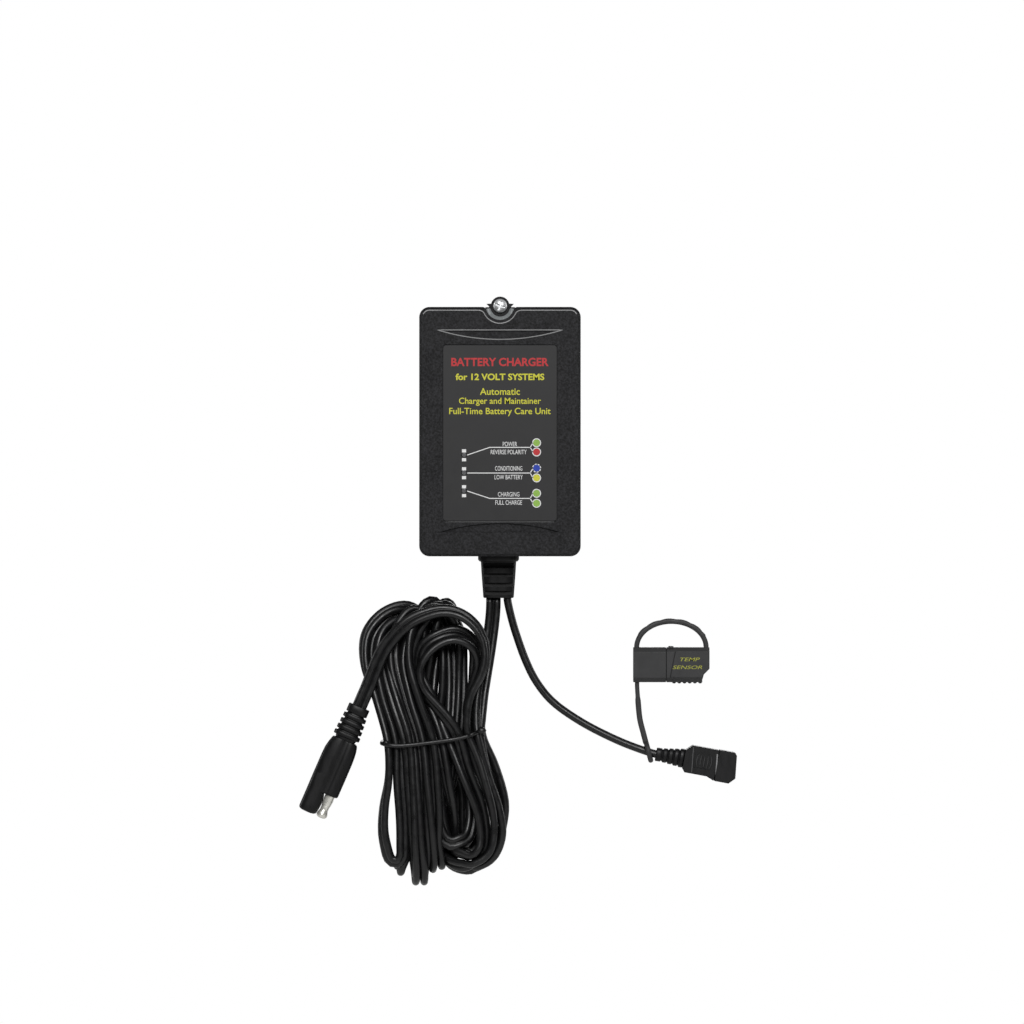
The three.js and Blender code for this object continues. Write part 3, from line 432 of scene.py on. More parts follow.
def settled(line):
    """The lead's line with its strands pushed off each other, a little in each round."""
    home = line.copy()
    index = np.arange(len(line))
    loose = np.ones((len(line), 1))
    loose[:FIXED_START] = loose[-FIXED_END:] = 0
    free = slice(FIXED_START, -FIXED_END)
    apart = (index[None, :] - index[:, None]) > NEAR_POINTS
    for turn in range(SETTLE_ROUNDS):
        if turn % FLAT_ROUNDS == 0:
            wide = flat_ways(line)
        gap = line[:, None, :] - line[None, :, :]
        far = np.sqrt((gap**2).sum(2)) + 1e-6
        first, second = np.nonzero(apart & (far < TWIN_WIDTH))
        way = gap[first, second] / far[first, second][:, None]
        need = 0
        for k in (first, second):
            part = (way * wide[k]).sum(1) ** 2
            need = need + np.sqrt(part * (TWIN_WIDTH / 2) ** 2 + (1 - part) * (TWIN_THICK / 2) ** 2)
        push = np.clip(CLOSENESS * need - far[first, second], 0, PUSH_LIMIT)[:, None] * way * PUSH_SHARE
        moved = np.zeros_like(line)
        count = np.zeros(len(line))
        for k, sign in ((first, 1), (second, -1)):
            np.add.at(moved, k, sign * push)
            np.add.at(count, k, (push**2).sum(1) > 0)
        moved /= np.maximum(count, 1)[:, None] ** 0.5
        shift = line - home + loose * moved
        shift *= np.array(HOLD)
        for _ in range(2):
            shift[1:-1] += EVEN_SHARE * loose[1:-1] * ((shift[:-2] + shift[2:]) / 2 - shift[1:-1])
        line = home + shift
        line[free, 1] = np.clip(line[free, 1], BUNDLE_FRONT, BUNDLE_BACK)
        line[:, 2] = np.maximum(line[:, 2], BUNDLE_LOW)
    return line


def rounded_bends(line, tightest, rounds=60):
    """The line with each bend tighter than that radius eased towards it, its ends kept."""
    for _ in range(rounds):
        along = np.diff(line, axis=0)
        far = np.linalg.norm(along, axis=1)
        angle = np.arccos(np.clip((along[1:] * along[:-1]).sum(1) / (far[1:] * far[:-1]), -1, 1))
        tight = np.clip(angle * tightest / ((far[1:] + far[:-1]) / 2) - 1, 0, 1)
        tight[:3] = tight[-3:] = 0
        ease = blurred(tight[:, None], 3)
        line[1:-1] += 0.5 * ease * ((line[:-2] + line[2:]) / 2 - line[1:-1])
    return line


def add_output_lead():
    line = respaced(settled(smooth_line(hank_route(), ROUTE_STEP)), SETTLED_STEP)
    line = respaced(rounded_bends(line, FOLD_RADIUS), LEAD_STEP)
    mesh = swept("output_lead", line, flat_ways(line), twin_section())
    lead = add_piece("output_lead", mesh, "cord_rubber")
    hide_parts("output_lead_upper", "output_lead_hank", "output_lead_tail")
    return lead, line


# ---------- materials ----------


class Finish:
    """A surface whose colour, roughness and relief vary in real sizes over the object."""

    def __init__(self, name, colour, rough, metallic=0.0, specular=0.5):
        self.material = bpy.data.materials.new(name)
        self.material.use_nodes = True
        self.material.diffuse_color = (*colour, 1)
        self.tree = self.material.node_tree
        self.shader = self.tree.nodes["Principled BSDF"]
        self.colour = colour
        self.rough = rough
        self.relief = None
        self.shader.inputs["Metallic"].default_value = metallic
        self.shader.inputs["Specular IOR Level"].default_value = specular
        self.shader.inputs["Roughness"].default_value = rough
        self.place = self.tree.nodes.new("ShaderNodeTexCoord").outputs["Object"]

    def node(self, kind, **values):
        made = self.tree.nodes.new(kind)
        for key, value in values.items():
            setattr(made, key, value)
        return made

    def link(self, output, target):
        self.tree.links.new(output, target)

    def noise(self, size, detail=4.0, stretch=(1, 1, 1), rough=0.55):
        """Cloudy noise whose spots are about size millimetres across."""
        mapping = self.node("ShaderNodeMapping")
        mapping.inputs["Scale"].default_value = stretch
        noise = self.node("ShaderNodeTexNoise")
        noise.inputs["Scale"].default_value = 1 / (size * MM)
        noise.inputs["Detail"].default_value = detail
        noise.inputs["Roughness"].default_value = rough
        self.link(self.place, mapping.inputs["Vector"])
        self.link(mapping.outputs["Vector"], noise.inputs["Vector"])
        return noise.outputs["Fac"]

    def ranged(self, value, low, high, start=0.3, end=0.7):
        ramp = self.node("ShaderNodeMapRange")
        ramp.inputs["From Min"].default_value = start
        ramp.inputs["From Max"].default_value = end
        ramp.inputs["To Min"].default_value = low
        ramp.inputs["To Max"].default_value = high
        self.link(value, ramp.inputs["Value"])
        return ramp.outputs["Result"]

    def tint(self, value, dark, light, start=0.3, end=0.7):
        """Colours the surface between two shades of its colour, as value goes from start to end."""
        mix = self.node("ShaderNodeMix", data_type="RGBA")
        mix.inputs[6].default_value = (*[c * dark for c in self.colour], 1)
        mix.inputs[7].default_value = (*[min(1, c * light) for c in self.colour], 1)
        self.link(self.ranged(value, 0, 1, start, end), mix.inputs[0])
        self.link(mix.outputs[2], self.shader.inputs["Base Color"])
        return self

    def shine(self, value, spread):
        """Varies the roughness by spread to each side."""
        self.link(
            self.ranged(value, self.rough - spread, self.rough + spread),
            self.shader.inputs["Roughness"],
        )
        return self

    def bump(self, value, depth):
        """Relief of about depth millimetres, added to what is there."""
        bump = self.node("ShaderNodeBump")
        bump.inputs["Strength"].default_value = 1.0
        bump.inputs["Distance"].default_value = depth * MM
        self.link(value, bump.inputs["Height"])
        if self.relief:
            self.link(self.relief, bump.inputs["Normal"])
        self.relief = bump.outputs["Normal"]
        self.link(self.relief, self.shader.inputs["Normal"])
        return self


def spark_grain(name, colour, rough, specular, size, depth):
    """Moulded plastic with the pebbled grain of a spark-eroded tool and paler specks on its high spots."""
    f = Finish(name, colour, rough, specular=specular)
    grain = f.noise(size, 3.0, rough=0.7)
    f.tint(grain, 0.15, 4.2, 0.38, 0.68)
    f.bump(grain, depth)
    f.bump(f.noise(size * 0.3, 2.0), depth * 0.3)
    return f.shine(f.noise(9.0), 0.07).material


def smooth_moulding(name, colour, rough, specular=0.4):
    """Plain moulded plastic: faint flow marks, fine scuffs and a little dust."""
    f = Finish(name, colour, rough, specular=specular)
    f.tint(f.noise(7.0, 6.0), 0.86, 1.16)
    f.bump(f.noise(0.12, 2.0), 0.006)
    return f.shine(f.noise(2.2, 8.0, (1, 1, 0.35)), 0.08).material


def film(name, colour, rough):
    """Printed polyester film: nearly flat, with a very fine tooth."""
    f = Finish(name, colour, rough, specular=0.35)
    f.tint(f.noise(14.0, 5.0), 0.94, 1.06)
    f.bump(f.noise(0.08, 2.0), 0.004)
    return f.shine(f.noise(5.0, 6.0), 0.04).material


def vinyl(name, colour, rough):
    """Cord insulation: satin, with draw marks and slight bloom."""
    f = Finish(name, colour, rough, specular=0.42)
    f.tint(f.noise(5.0, 6.0), 0.75, 1.3)
    f.bump(f.noise(0.9, 4.0), 0.03)
    f.bump(f.noise(0.15, 2.0), 0.006)
    return f.shine(f.noise(3.0, 6.0), 0.1).material


def metal(name, colour, rough, stretch=(1, 1, 1), share=1.0):
    """Plated metal with fine drawn lines and small stains; a dull plating is less than all metal."""
    f = Finish(name, colour, rough, metallic=share)
    f.tint(f.noise(1.6, 6.0), 0.82, 1.08)
    f.bump(f.noise(0.25, 3.0, stretch), 0.008)
    return f.shine(f.noise(0.7, 6.0, stretch), 0.09).material


def ink(name, colour, rough=0.5):
    """Screen-printed ink, slightly uneven."""
    f = Finish(name, colour, rough, specular=0.3)
    f.tint(f.noise(0.5, 4.0), 0.84, 1.08)
    return f.bump(f.noise(0.1, 2.0), 0.004).material


def board_finish(name, colour):
    """Solder mask over copper tracks that run in steps across the board."""
    f = Finish(name, colour, 0.35)
    tracks = f.node("ShaderNodeTexVoronoi", feature="DISTANCE_TO_EDGE", distance="MANHATTAN")
    tracks.inputs["Scale"].default_value = 1 / (4.2 * MM)
    f.link(f.place, tracks.inputs["Vector"])
    f.tint(tracks.outputs["Distance"], 1.9, 0.8, 0.04, 0.1)
    return f.bump(tracks.outputs["Distance"], 0.03).material


def lens_finish(name, colour):
    """Smoky clear plastic over an unlit lamp."""
    f = Finish(name, colour, 0.18)
    f.tint(f.noise(0.6, 3.0), 0.8, 1.2)
    f.shader.inputs["Coat Weight"].default_value = 0.6
    return f.shine(f.noise(0.4, 4.0), 0.05).material


FINISHES = {
    name: make(name, *look)
    for name, make, *look in (
        ("case_plastic", spark_grain, (0.0056, 0.0056, 0.0063), 0.58, 0.22, 0.75, 0.07),
        ("label_film", film, (0.0125, 0.0123, 0.0131), 0.42),
        ("cord_rubber", vinyl, (0.0056, 0.0056, 0.006), 0.34),
        ("boot_rubber", smooth_moulding, (0.0042, 0.0042, 0.0046), 0.42, 0.26),
        ("tag_plastic", smooth_moulding, (0.032, 0.032, 0.033), 0.5, 0.3),
        ("zinc", metal, (0.86, 0.87, 0.88), 0.36, (1, 1, 1), 0.6),
        ("nickel", metal, (0.8, 0.79, 0.73), 0.3, (1, 6, 1), 0.65),
        ("contact_brass", metal, (0.62, 0.43, 0.15), 0.32),
        ("screw_steel", metal, (0.36, 0.36, 0.38), 0.35),
        ("smoked_lens", lens_finish, (0.11, 0.11, 0.115)),
        ("board_laminate", board_finish, (0.014, 0.11, 0.042)),
        ("ferrite", smooth_moulding, (0.03, 0.03, 0.032), 0.6),
        ("coil_tape", smooth_moulding, (0.62, 0.42, 0.05), 0.35),
        ("can_sleeve", smooth_moulding, (0.016, 0.03, 0.075), 0.3),
        ("heat_sink_metal", metal, (0.6, 0.61, 0.63), 0.38, (1, 8, 1)),
        ("coil_copper", metal, (0.42, 0.15, 0.06), 0.3, (1, 1, 4)),
        ("white_plastic", smooth_moulding, (0.78, 0.76, 0.7), 0.45),
        ("red_insulation", smooth_moulding, (0.34, 0.025, 0.022), 0.4),
    )
}
RED_INK = ink("red_ink", (0.5, 0.03, 0.035))
YELLOW_INK = ink("yellow_ink", (0.62, 0.6, 0.045))
DULL_YELLOW_INK = ink("dull_yellow_ink", (0.36, 0.36, 0.05))
WHITE_INK = ink("white_ink", (0.8, 0.8, 0.8))
GREEN_INK = ink("green_ink", (0.27, 0.47, 0.08))
BLUE_INK = ink("blue_ink", (0.018, 0.05, 0.4))
# Painted highlight: light grey on the upper crescent's beads and the connector's right panel edge, for the
# light their edges catch.
LINE_HIGHLIGHT_GREY = smooth_moulding("painted_line_highlight", (0.2, 0.2, 0.203), 0.35, 0.5)
# Painted highlight: pale grey on the bead round the top edge and the notch, for the light on that rounded
# edge.
EDGE_HIGHLIGHT_GREY = smooth_moulding("painted_edge_highlight", (0.3, 0.3, 0.303), 0.35, 0.5)
# Painted highlight: dim grey on the line below the label recess and on the connector's left panel edge.
DIM_HIGHLIGHT_GREY = smooth_moulding("painted_dim_highlight", (0.09, 0.09, 0.092), 0.4, 0.4)
# Painted reflection: mid grey on the black ear's dish, for the light it catches.
DISH_REFLECTION_GREY = smooth_moulding("painted_dish_reflection", (0.22, 0.235, 0.24), 0.4, 0.5)


# ---------- the CAD's own pieces ----------

CAD = frame["nodes"]
SLOT_OF = {s["node"]: s["material_slot"] for s in frame["record"]["subparts"]}
SOFT_EDGES = {
    "front_case": 0.3,
    "rear_case": 0.3,
    "label": 0.05,
    "blade_1": 0.2,
    "blade_2": 0.2,
    "sensor_cap": 0.16,
    "sensor_module": 0.16,
    "sensor_connector_body": 0.22,
    "sensor_connector_nose": 0.35,
    "light_pipe_1": 0.2,
    "light_pipe_2": 0.2,
    "light_pipe_3": 0.2,
}


def add_bevel(obj, width, angle, segments):
    """Rounds the edges sharper than angle degrees, and shades the object smooth between them."""
    bevel = obj.modifiers.new("edges", "BEVEL")
    bevel.width = width * MM
    bevel.segments = segments
    bevel.limit_method = "ANGLE"
    bevel.angle_limit = math.radians(angle)
    normals = obj.modifiers.new("normals", "WEIGHTED_NORMAL")
    normals.keep_sharp = True
    for polygon in obj.data.polygons:
        polygon.use_smooth = True


def soften(obj, width):
    """Rounds a CAD piece's edges by width millimetres and shades it smooth between them."""
    weld = obj.modifiers.new("weld", "WELD")
    weld.merge_threshold = 0.002 * MM
    flat = obj.modifiers.new("flat", "DECIMATE")
    flat.decimate_type = "DISSOLVE"
    flat.angle_limit = math.radians(0.8)
    add_bevel(obj, width, 32, 3)


def finish_cad():
    for name, obj in CAD.items():
        finish = FINISHES[SLOT_OF[name]]
        if obj.material_slots:
            obj.material_slots[0].material = finish
        else:
            obj.data.materials.append(finish)
        if name in SOFT_EDGES:
            soften(obj, SOFT_EDGES[name])


# ---------- shaping helpers ----------


def placed(mesh, lean, place):
    """Leans a mesh built at its own origin about the Y axis, and puts it in its place."""
    move = Matrix.Translation([c * MM for c in place]) @ Matrix.Rotation(lean, 4, "Y")
    mesh.transform(move)
    return mesh


def lofted(name, rings):
    """A closed skin over rings of points, capped at both ends."""
    points = np.array(rings, float).reshape(-1, 3) * MM
    mesh = mesh_of(name, points, tube_faces(len(rings), len(rings[0])))
    face_out(mesh)
    mesh.set_sharp_from_angle(angle=math.radians(40))
    return mesh


def face_out(mesh):
    work = bmesh.new()
    work.from_mesh(mesh)
    bmesh.ops.recalc_face_normals(work, faces=work.faces)
    work.to_mesh(mesh)
    work.free()


def oval(half_wide, half_thick, along, axis="Z", shift=0.0, power=2.6, count=40):
    """A rounded oval square to axis, along which it stands at along."""
    ring = []
    for a in np.linspace(0, 2 * math.pi, count, endpoint=False):
        c, s = math.cos(a), math.sin(a)
        u = half_wide * math.copysign(abs(c) ** (2 / power), c)
        v = half_thick * math.copysign(abs(s) ** (2 / power), s)
        ring.append((u, v, along) if axis == "Z" else (along, v, u + shift))
    return ring


def ribs(depth, sizes, edge=0.22):
    """Sections along a ribbed boot. Each rib is (from, to, half width, half thickness).

    A rib stands depth above the core.
    """
    sections = []
    for start, end, wide, thick in sizes:
        way = math.copysign(1, end - start)
        core = (wide - depth, thick - depth)
        sections += [
            (start, core[0], core[1]),
            (start, wide - edge, thick - edge),
            (start + way * edge * 0.35, wide - edge * 0.3, thick - edge * 0.3),
            (start + way * edge, wide, thick),
            (end - way * edge, wide, thick),
            (end - way * edge * 0.35, wide - edge * 0.3, thick - edge * 0.3),
            (end, wide - edge, thick - edge),
            (end, core[0], core[1]),
        ]
    return sections


def changed(obj):
    """Puts an object's modifiers into its mesh."""
    graph = bpy.context.evaluated_depsgraph_get()
    mesh = bpy.data.meshes.new_from_object(obj.evaluated_get(graph))
    obj.modifiers.clear()
    obj.data = mesh
    return mesh


def cut(mesh, cutter, operation="DIFFERENCE"):
    """One mesh cut by, or joined to, another."""
    pieces = []
    for data in (mesh, cutter):
        obj = bpy.data.objects.new("work", data)
        bpy.context.scene.collection.objects.link(obj)
        pieces.append(obj)
    boolean = pieces[0].modifiers.new("cut", "BOOLEAN")
    boolean.object = pieces[1]
    boolean.operation = operation
    boolean.solver = "EXACT"
    bpy.context.view_layer.update()
    made = changed(pieces[0])
    for obj in pieces:
        bpy.data.objects.remove(obj)
    return made


def rounded_edges(mesh, width, angle=35, segments=2):
    obj = bpy.data.objects.new("work", mesh)
    bpy.context.scene.collection.objects.link(obj)
    add_bevel(obj, width, angle, segments)
    bpy.context.view_layer.update()
    made = changed(obj)
    bpy.data.objects.remove(obj)
    return made


def block_points(low, high):
    (x0, y0, z0), (x1, y1, z1) = low, high
    return [(x, y, z) for z in (z0, z1) for x, y in ((x0, y0), (x1, y0), (x1, y1), (x0, y1))]


def blocks(name, boxes):
    """Boxes in one mesh, each given by its lowest and highest corner."""
    points, faces = [], []
    for low, high in boxes:
        n = len(points)
        points += block_points(low, high)
        faces += [
            (n + 3, n + 2, n + 1, n),
            (n + 4, n + 5, n + 6, n + 7),
            *[(n + i, n + (i + 1) % 4, n + 4 + (i + 1) % 4, n + 4 + i) for i in range(4)],
        ]
    return mesh_of(name, np.array(points) * MM, faces, smooth=False)


def plates(name, outlines, back, front):
    """Flat plates facing the front, each from an outline of (x, z) points."""
    points, faces = [], []
    for outline in outlines:
        n, count = len(points), len(outline)
        points += [(x, back, z) for x, z in outline] + [(x, front, z) for x, z in outline]
        faces.append(tuple(range(n, n + count)))
        faces.append(tuple(range(n + 2 * count - 1, n + count - 1, -1)))
        for i in range(count):
            k = (i + 1) % count
            faces.append((n + i, n + count + i, n + count + k, n + k))
    mesh = mesh_of(name, np.array(points) * MM, faces, smooth=False)
    face_out(mesh)
    return mesh


def strip(points, width):
    """The outline of a line of that width through (x, z) points."""
    p = np.array(points, float)
    d = np.diff(p, axis=0)
    d /= np.linalg.norm(d, axis=1, keepdims=True)
    ends = np.vstack([d[:1], d[:-1] + d[1:], d[-1:]])
    ends /= np.linalg.norm(ends, axis=1, keepdims=True)
    side = np.stack([-ends[:, 1], ends[:, 0]], 1) * width / 2
    return [tuple(q) for q in np.vstack([p + side, (p - side)[::-1]])]


def rectangle(x, z, half_wide, half_high):
    corners = ((-1, -1), (1, -1), (1, 1), (-1, 1))
    return [(x + u * half_wide, z + v * half_high) for u, v in corners]


def arc_points(x, z, radius, start, end, count):
    """Points round part of a circle, between two angles in degrees."""
    turn = np.radians(np.linspace(start, end, count))
    return [(x + radius * math.cos(a), z + radius * math.sin(a)) for a in turn]


def disc(x, z, radius, count=32):
    turn = np.linspace(0, 2 * math.pi, count, endpoint=False)
    return [(x + radius * math.cos(a), z + radius * math.sin(a)) for a in turn]


def ring_part(x, z, inner, outer, start, end, count=8):
    """Part of a flat ring between two angles."""
    turn = np.linspace(start, end, count)
    out = [(x + outer * math.cos(a), z + outer * math.sin(a)) for a in turn]
    back = [(x + inner * math.cos(a), z + inner * math.sin(a)) for a in turn[::-1]]
    return out + back


def lettering(name, words, x, z, width, height, front, bold=0.0, slant=0.0, thick=0.05):
    """Raised letters as a mesh, fitted to a width and height, with their backs on the front given."""
    curve = bpy.data.curves.new(name, "FONT")
    curve.body = words
    curve.offset = bold
    curve.shear = slant
    curve.extrude = 0.5
    curve.resolution_u = 4
    obj = bpy.data.objects.new(name, curve)
    bpy.context.scene.collection.objects.link(obj)
    bpy.context.view_layer.update()
    mesh = bpy.data.meshes.new_from_object(obj.evaluated_get(bpy.context.evaluated_depsgraph_get()))
    bpy.data.objects.remove(obj)
    flat = np.array([v.co for v in mesh.vertices])
    low, high = flat.min(0), flat.max(0)
    unit = (flat - low) / (high - low)
    made = np.stack(
        [
            x + (unit[:, 0] - 0.5) * width,
            front - unit[:, 2] * thick,
            z + (unit[:, 1] - 0.5) * height,
        ],
        1,
    )
    mesh.vertices.foreach_set("co", (made * MM).astype(np.float32).ravel())
    mesh.materials.clear()
    mesh.update()
    return mesh


# ---------- label ----------

LABEL_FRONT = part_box("label")[0].y / MM
LED_X = -14.0
LED_Z = (-44.0, -51.0, -58.0)
SQUARE_OFFSET = (1.55, -1.9)  # printed marks above and below each lamp
TITLES = (
    ("BATTERY CHARGER", -7.8, 38.0, 3.3, 0.03),
    ("for 12 VOLT SYSTEMS", -13.6, 34.6, 2.6, 0.03),
    ("Automatic", -19.3, 15.6, 2.7, 0.012),
    ("Charger and Maintainer", -23.3, 32.0, 3.2, 0.012),
    ("Full-Time Battery Care Unit", -27.3, 39.6, 3.3, 0.012),
)
LEGENDS = (
    ("POWER", -39.8, 5.6, 3.9),
    ("REVERSE POLARITY", -42.9, 14.0, 3.4),
    ("CONDITIONING", -49.3, 10.6, 3.4),
    ("LOW BATTERY", -52.7, 11.0, 3.4),
    ("CHARGING", -59.4, 8.4, 3.4),
    ("FULL CHARGE", -62.6, 10.4, 3.4),
)
DISCS = (
    (-39.3, GREEN_INK),
    (-42.9, RED_INK),
    (-49.2, BLUE_INK),
    (-53.0, YELLOW_INK),
    (-59.0, GREEN_INK),
    (-62.9, GREEN_INK),
)
LINE_Z = (-41.1, -51.1, -61.0)  # heights of the lines from the lamps to the discs
MARK_HALF = (0.8, 0.62)
PRINT_LINE = 0.34
PRINT_THICK = 0.05
DISC_X = 14.3
DISC_RADIUS = 1.38
RING_RADIUS = 1.72


def add_label_print():
    front = LABEL_FRONT
    for i, (words, z, width, height, bold) in enumerate(TITLES):
        mesh = lettering(f"title_{i + 1}", words, 0, z, width, height, front, bold)
        add_object(f"title_{i + 1}", mesh, RED_INK if i == 0 else YELLOW_INK)
    for i, (words, z, width, x) in enumerate(LEGENDS):
        mesh = lettering(f"legend_{i + 1}", words, x, z, width, 1.75, front)
        add_object(f"legend_{i + 1}", mesh, WHITE_INK)
    marks = []
    for lamp in LED_Z:
        for offset in SQUARE_OFFSET:
            z = lamp + offset
            marks.append(rectangle(LED_X, z, *MARK_HALF))
    fork = DISC_X - RING_RADIUS
    for lamp, turn_z, pair in zip(LED_Z, LINE_Z, (DISCS[:2], DISCS[2:4], DISCS[4:])):
        start = (LED_X + 1.2, lamp - 0.1)
        if abs(turn_z - lamp) < 1:
            marks.append(strip([start, (12.0, turn_z)], PRINT_LINE))
        else:
            marks.append(strip([start, (-4.0, turn_z), (12.0, turn_z)], PRINT_LINE))
        for z, _ in pair:
            marks.append(strip([(11.8, turn_z), (fork + 0.3, z)], PRINT_LINE))
    add_object("label_marks", plates("label_marks", marks, front, front - PRINT_THICK), WHITE_INK)
    rings = []
    for z, colour in DISCS:
        parts = 8 if colour is BLUE_INK else 1
        gap = 0.26 if parts > 1 else 0.0
        for k in range(parts):
            a = 2 * math.pi * k / parts
            end = a + 2 * math.pi / parts - gap
            rings.append(ring_part(DISC_X, z, DISC_RADIUS, RING_RADIUS, a, end, 8 if parts > 1 else 40))
    add_object("disc_rings", plates("disc_rings", rings, front, front - PRINT_THICK), WHITE_INK)
    for i, (z, colour) in enumerate(DISCS):
        mesh = plates(f"disc_{i + 1}", [disc(DISC_X, z, DISC_RADIUS - 0.04)], front, front - 0.06)
        add_object(f"disc_{i + 1}", mesh, colour)


# ---------- beads round the crescents, the notch and the label recess, most painted grey as highlights ---

CASE_HALF = 31.5
CASE_TOP = 13.7
CASE_LOW = -83.6
SEAM_DEPTH = -15.1
CASE_CORNER = 4.0
EDGE_INSET = 1.3
NOTCH_Z = 14.1
NOTCH_RADIUS = 5.5
SCREW_X, SCREW_Z = 0.0, 15.4
LABEL_HALF = 22.4
LABEL_LOW = -70.0
DISH_RADIUS = 5.45
CRESCENT_HALF = 24.4
CRESCENT_RISE = 3.7
UPPER_CRESCENT_Z = 4.7
LOWER_CRESCENT_Z = -74.3


def bead(name, points, radius):
    """A thin round bead along a line of (x, z) points in the case's front face."""
    line = np.array([(x, CASE_FRONT + radius * 0.72, z) for x, z in points], float)
    return swept(name, line, DEPTH_WAY, round_section(radius, 8))


def arc(half, z, rise, count=48):
    """Points of a flat arc from one end of a chord to the other, rise above or below it."""
    radius = (half**2 + rise**2) / (2 * abs(rise))
    centre = z + rise - math.copysign(radius, rise)
    x = np.linspace(-half, half, count)
    return [(u, centre + math.copysign(math.sqrt(radius**2 - u**2), rise)) for u in x]


def add_beads():
    for name, z, rise, radius in (
        ("upper_crescent_highlight", UPPER_CRESCENT_Z, -CRESCENT_RISE, 0.26),
        ("lower_crescent", LOWER_CRESCENT_Z, CRESCENT_RISE, 0.18),
    ):
        chord = [(x, z) for x in np.linspace(-CRESCENT_HALF, CRESCENT_HALF, 30)]
        curve = arc(CRESCENT_HALF, z, rise)
        # The upper crescent's beads are painted light grey as a highlight; the lower crescent's beads keep
        # the case's black.
        finish = LINE_HIGHLIGHT_GREY if rise < 0 else FINISHES["case_plastic"]
        add_object(name + "_chord", bead(name, chord, radius), finish)
        add_object(name + "_arc", bead(name, curve, radius), finish)

    half = CASE_HALF - EDGE_INSET
    top = CASE_TOP - EDGE_INSET
    corner = CASE_CORNER - EDGE_INSET
    side = arc_points(half - corner, top - corner, corner, 25, 90, 12)
    notch = NOTCH_RADIUS + EDGE_INSET
    foot = arc_points(0, NOTCH_Z, notch, -22, -90, 22)
    edge = [(x, top) for x in np.linspace(half - corner - 2, notch + 1.4, 12)]
    right = [*side, *edge, (notch + 0.3, top - 0.3)]
    left = [(-x, z) for x, z in right]
    line = right + foot + [(-x, z) for x, z in foot[-2::-1]] + left[::-1]
    # The bead round the top edge and the notch is painted pale grey as that edge's highlight.
    add_object("top_edge_highlight", bead("top_edge_highlight", line, 0.26), EDGE_HIGHLIGHT_GREY)
    # A bead under the label recess, painted grey as the highlight on the recess's lower edge.
    low = LABEL_LOW - 0.15
    line = [(x, low) for x in np.linspace(-LABEL_HALF + 1.2, LABEL_HALF - 1.2, 20)]
    add_object("recess_edge_highlight", bead("recess_edge_highlight", line, 0.17), DIM_HIGHLIGHT_GREY)


def add_seam_lip():
    """The lip inside the shells' parting line, which closes the seam all round."""
    inset = 1.1
    half, turn = CASE_HALF - inset, CASE_CORNER - inset
    right = [(10.0, CASE_LOW + inset)]
    for z, start in ((CASE_LOW + inset + turn, -90), (CASE_TOP - inset - turn, 0)):
        right += arc_points(half - turn, z, turn, start, start + 90, 8)
    notch = NOTCH_RADIUS + inset
    bend = arc_points(0, NOTCH_Z, notch, -14, -166, 24)
    around = right + bend + [(-x, z) for x, z in reversed(right)] + [right[0]]
    line = np.array([(x, SEAM_DEPTH, z) for x, z in around])
    mesh = swept("seam_lip", line, DEPTH_WAY, rectangle(0, 0, 0.6, 0.35))
    add_piece("seam_lip", mesh, "case_plastic")


def add_ear_dish():
    """The dished face of the ear between its ring and the foot of the notch, painted mid grey as reflected
    light on the black ear.
    """
    rings = []
    for radius, depth in ((3.85, 0.0), (3.85, -3.15), (4.0, -3.3), (5.9, -4.4), (6.0, -4.2), (6.0, 0.0)):
        turn = np.radians(np.linspace(-172, -8, 40))
        rings.append([(radius * math.cos(a), depth, SCREW_Z - 0.4 + radius * math.sin(a)) for a in turn])
    rings = np.array(rings)
    count = rings.shape[1]
    faces = []
    for i in range(len(rings)):
        k = (i + 1) % len(rings)
        for j in range(count - 1):
            faces.append((i * count + j, i * count + j + 1, k * count + j + 1, k * count + j))
    for j in (0, count - 1):
        faces.append(tuple(i * count + j for i in range(len(rings))))
    mesh = mesh_of("ear_dish", rings.reshape(-1, 3) * MM, faces)
    face_out(mesh)
    mesh.set_sharp_from_angle(angle=math.radians(35))
    edge = disc(0, NOTCH_Z, DISH_RADIUS, 59)
    hole = lofted("hole", [[(x, y, z) for x, z in edge] for y in (-10, 2)])
    mesh = cut(mesh, hole, "INTERSECT")
    add_object("ear_dish", mesh, DISH_REFLECTION_GREY)
    wing = [(3.2, 16.3), (5.4, 16.2), (4.5, 15.3), (3.8, 14.0)]
    wings = plates("ear_wings", [wing, [(-x, z) for x, z in reversed(wing)]], -0.3, -3.3)
    add_piece("ear_wings", wings, "case_plastic")


# ---------- mounting screw ----------

SCREW_SEAT = -3.3
THREAD_START = 18.2
THREAD_END = 1.2
THREAD_PITCH = 0.8
CREST_RADIUS = 1.72
ROOT_RADIUS = 1.32
HEAD_RADIUS = 2.75
SLOT_TURNS = (20, 110)


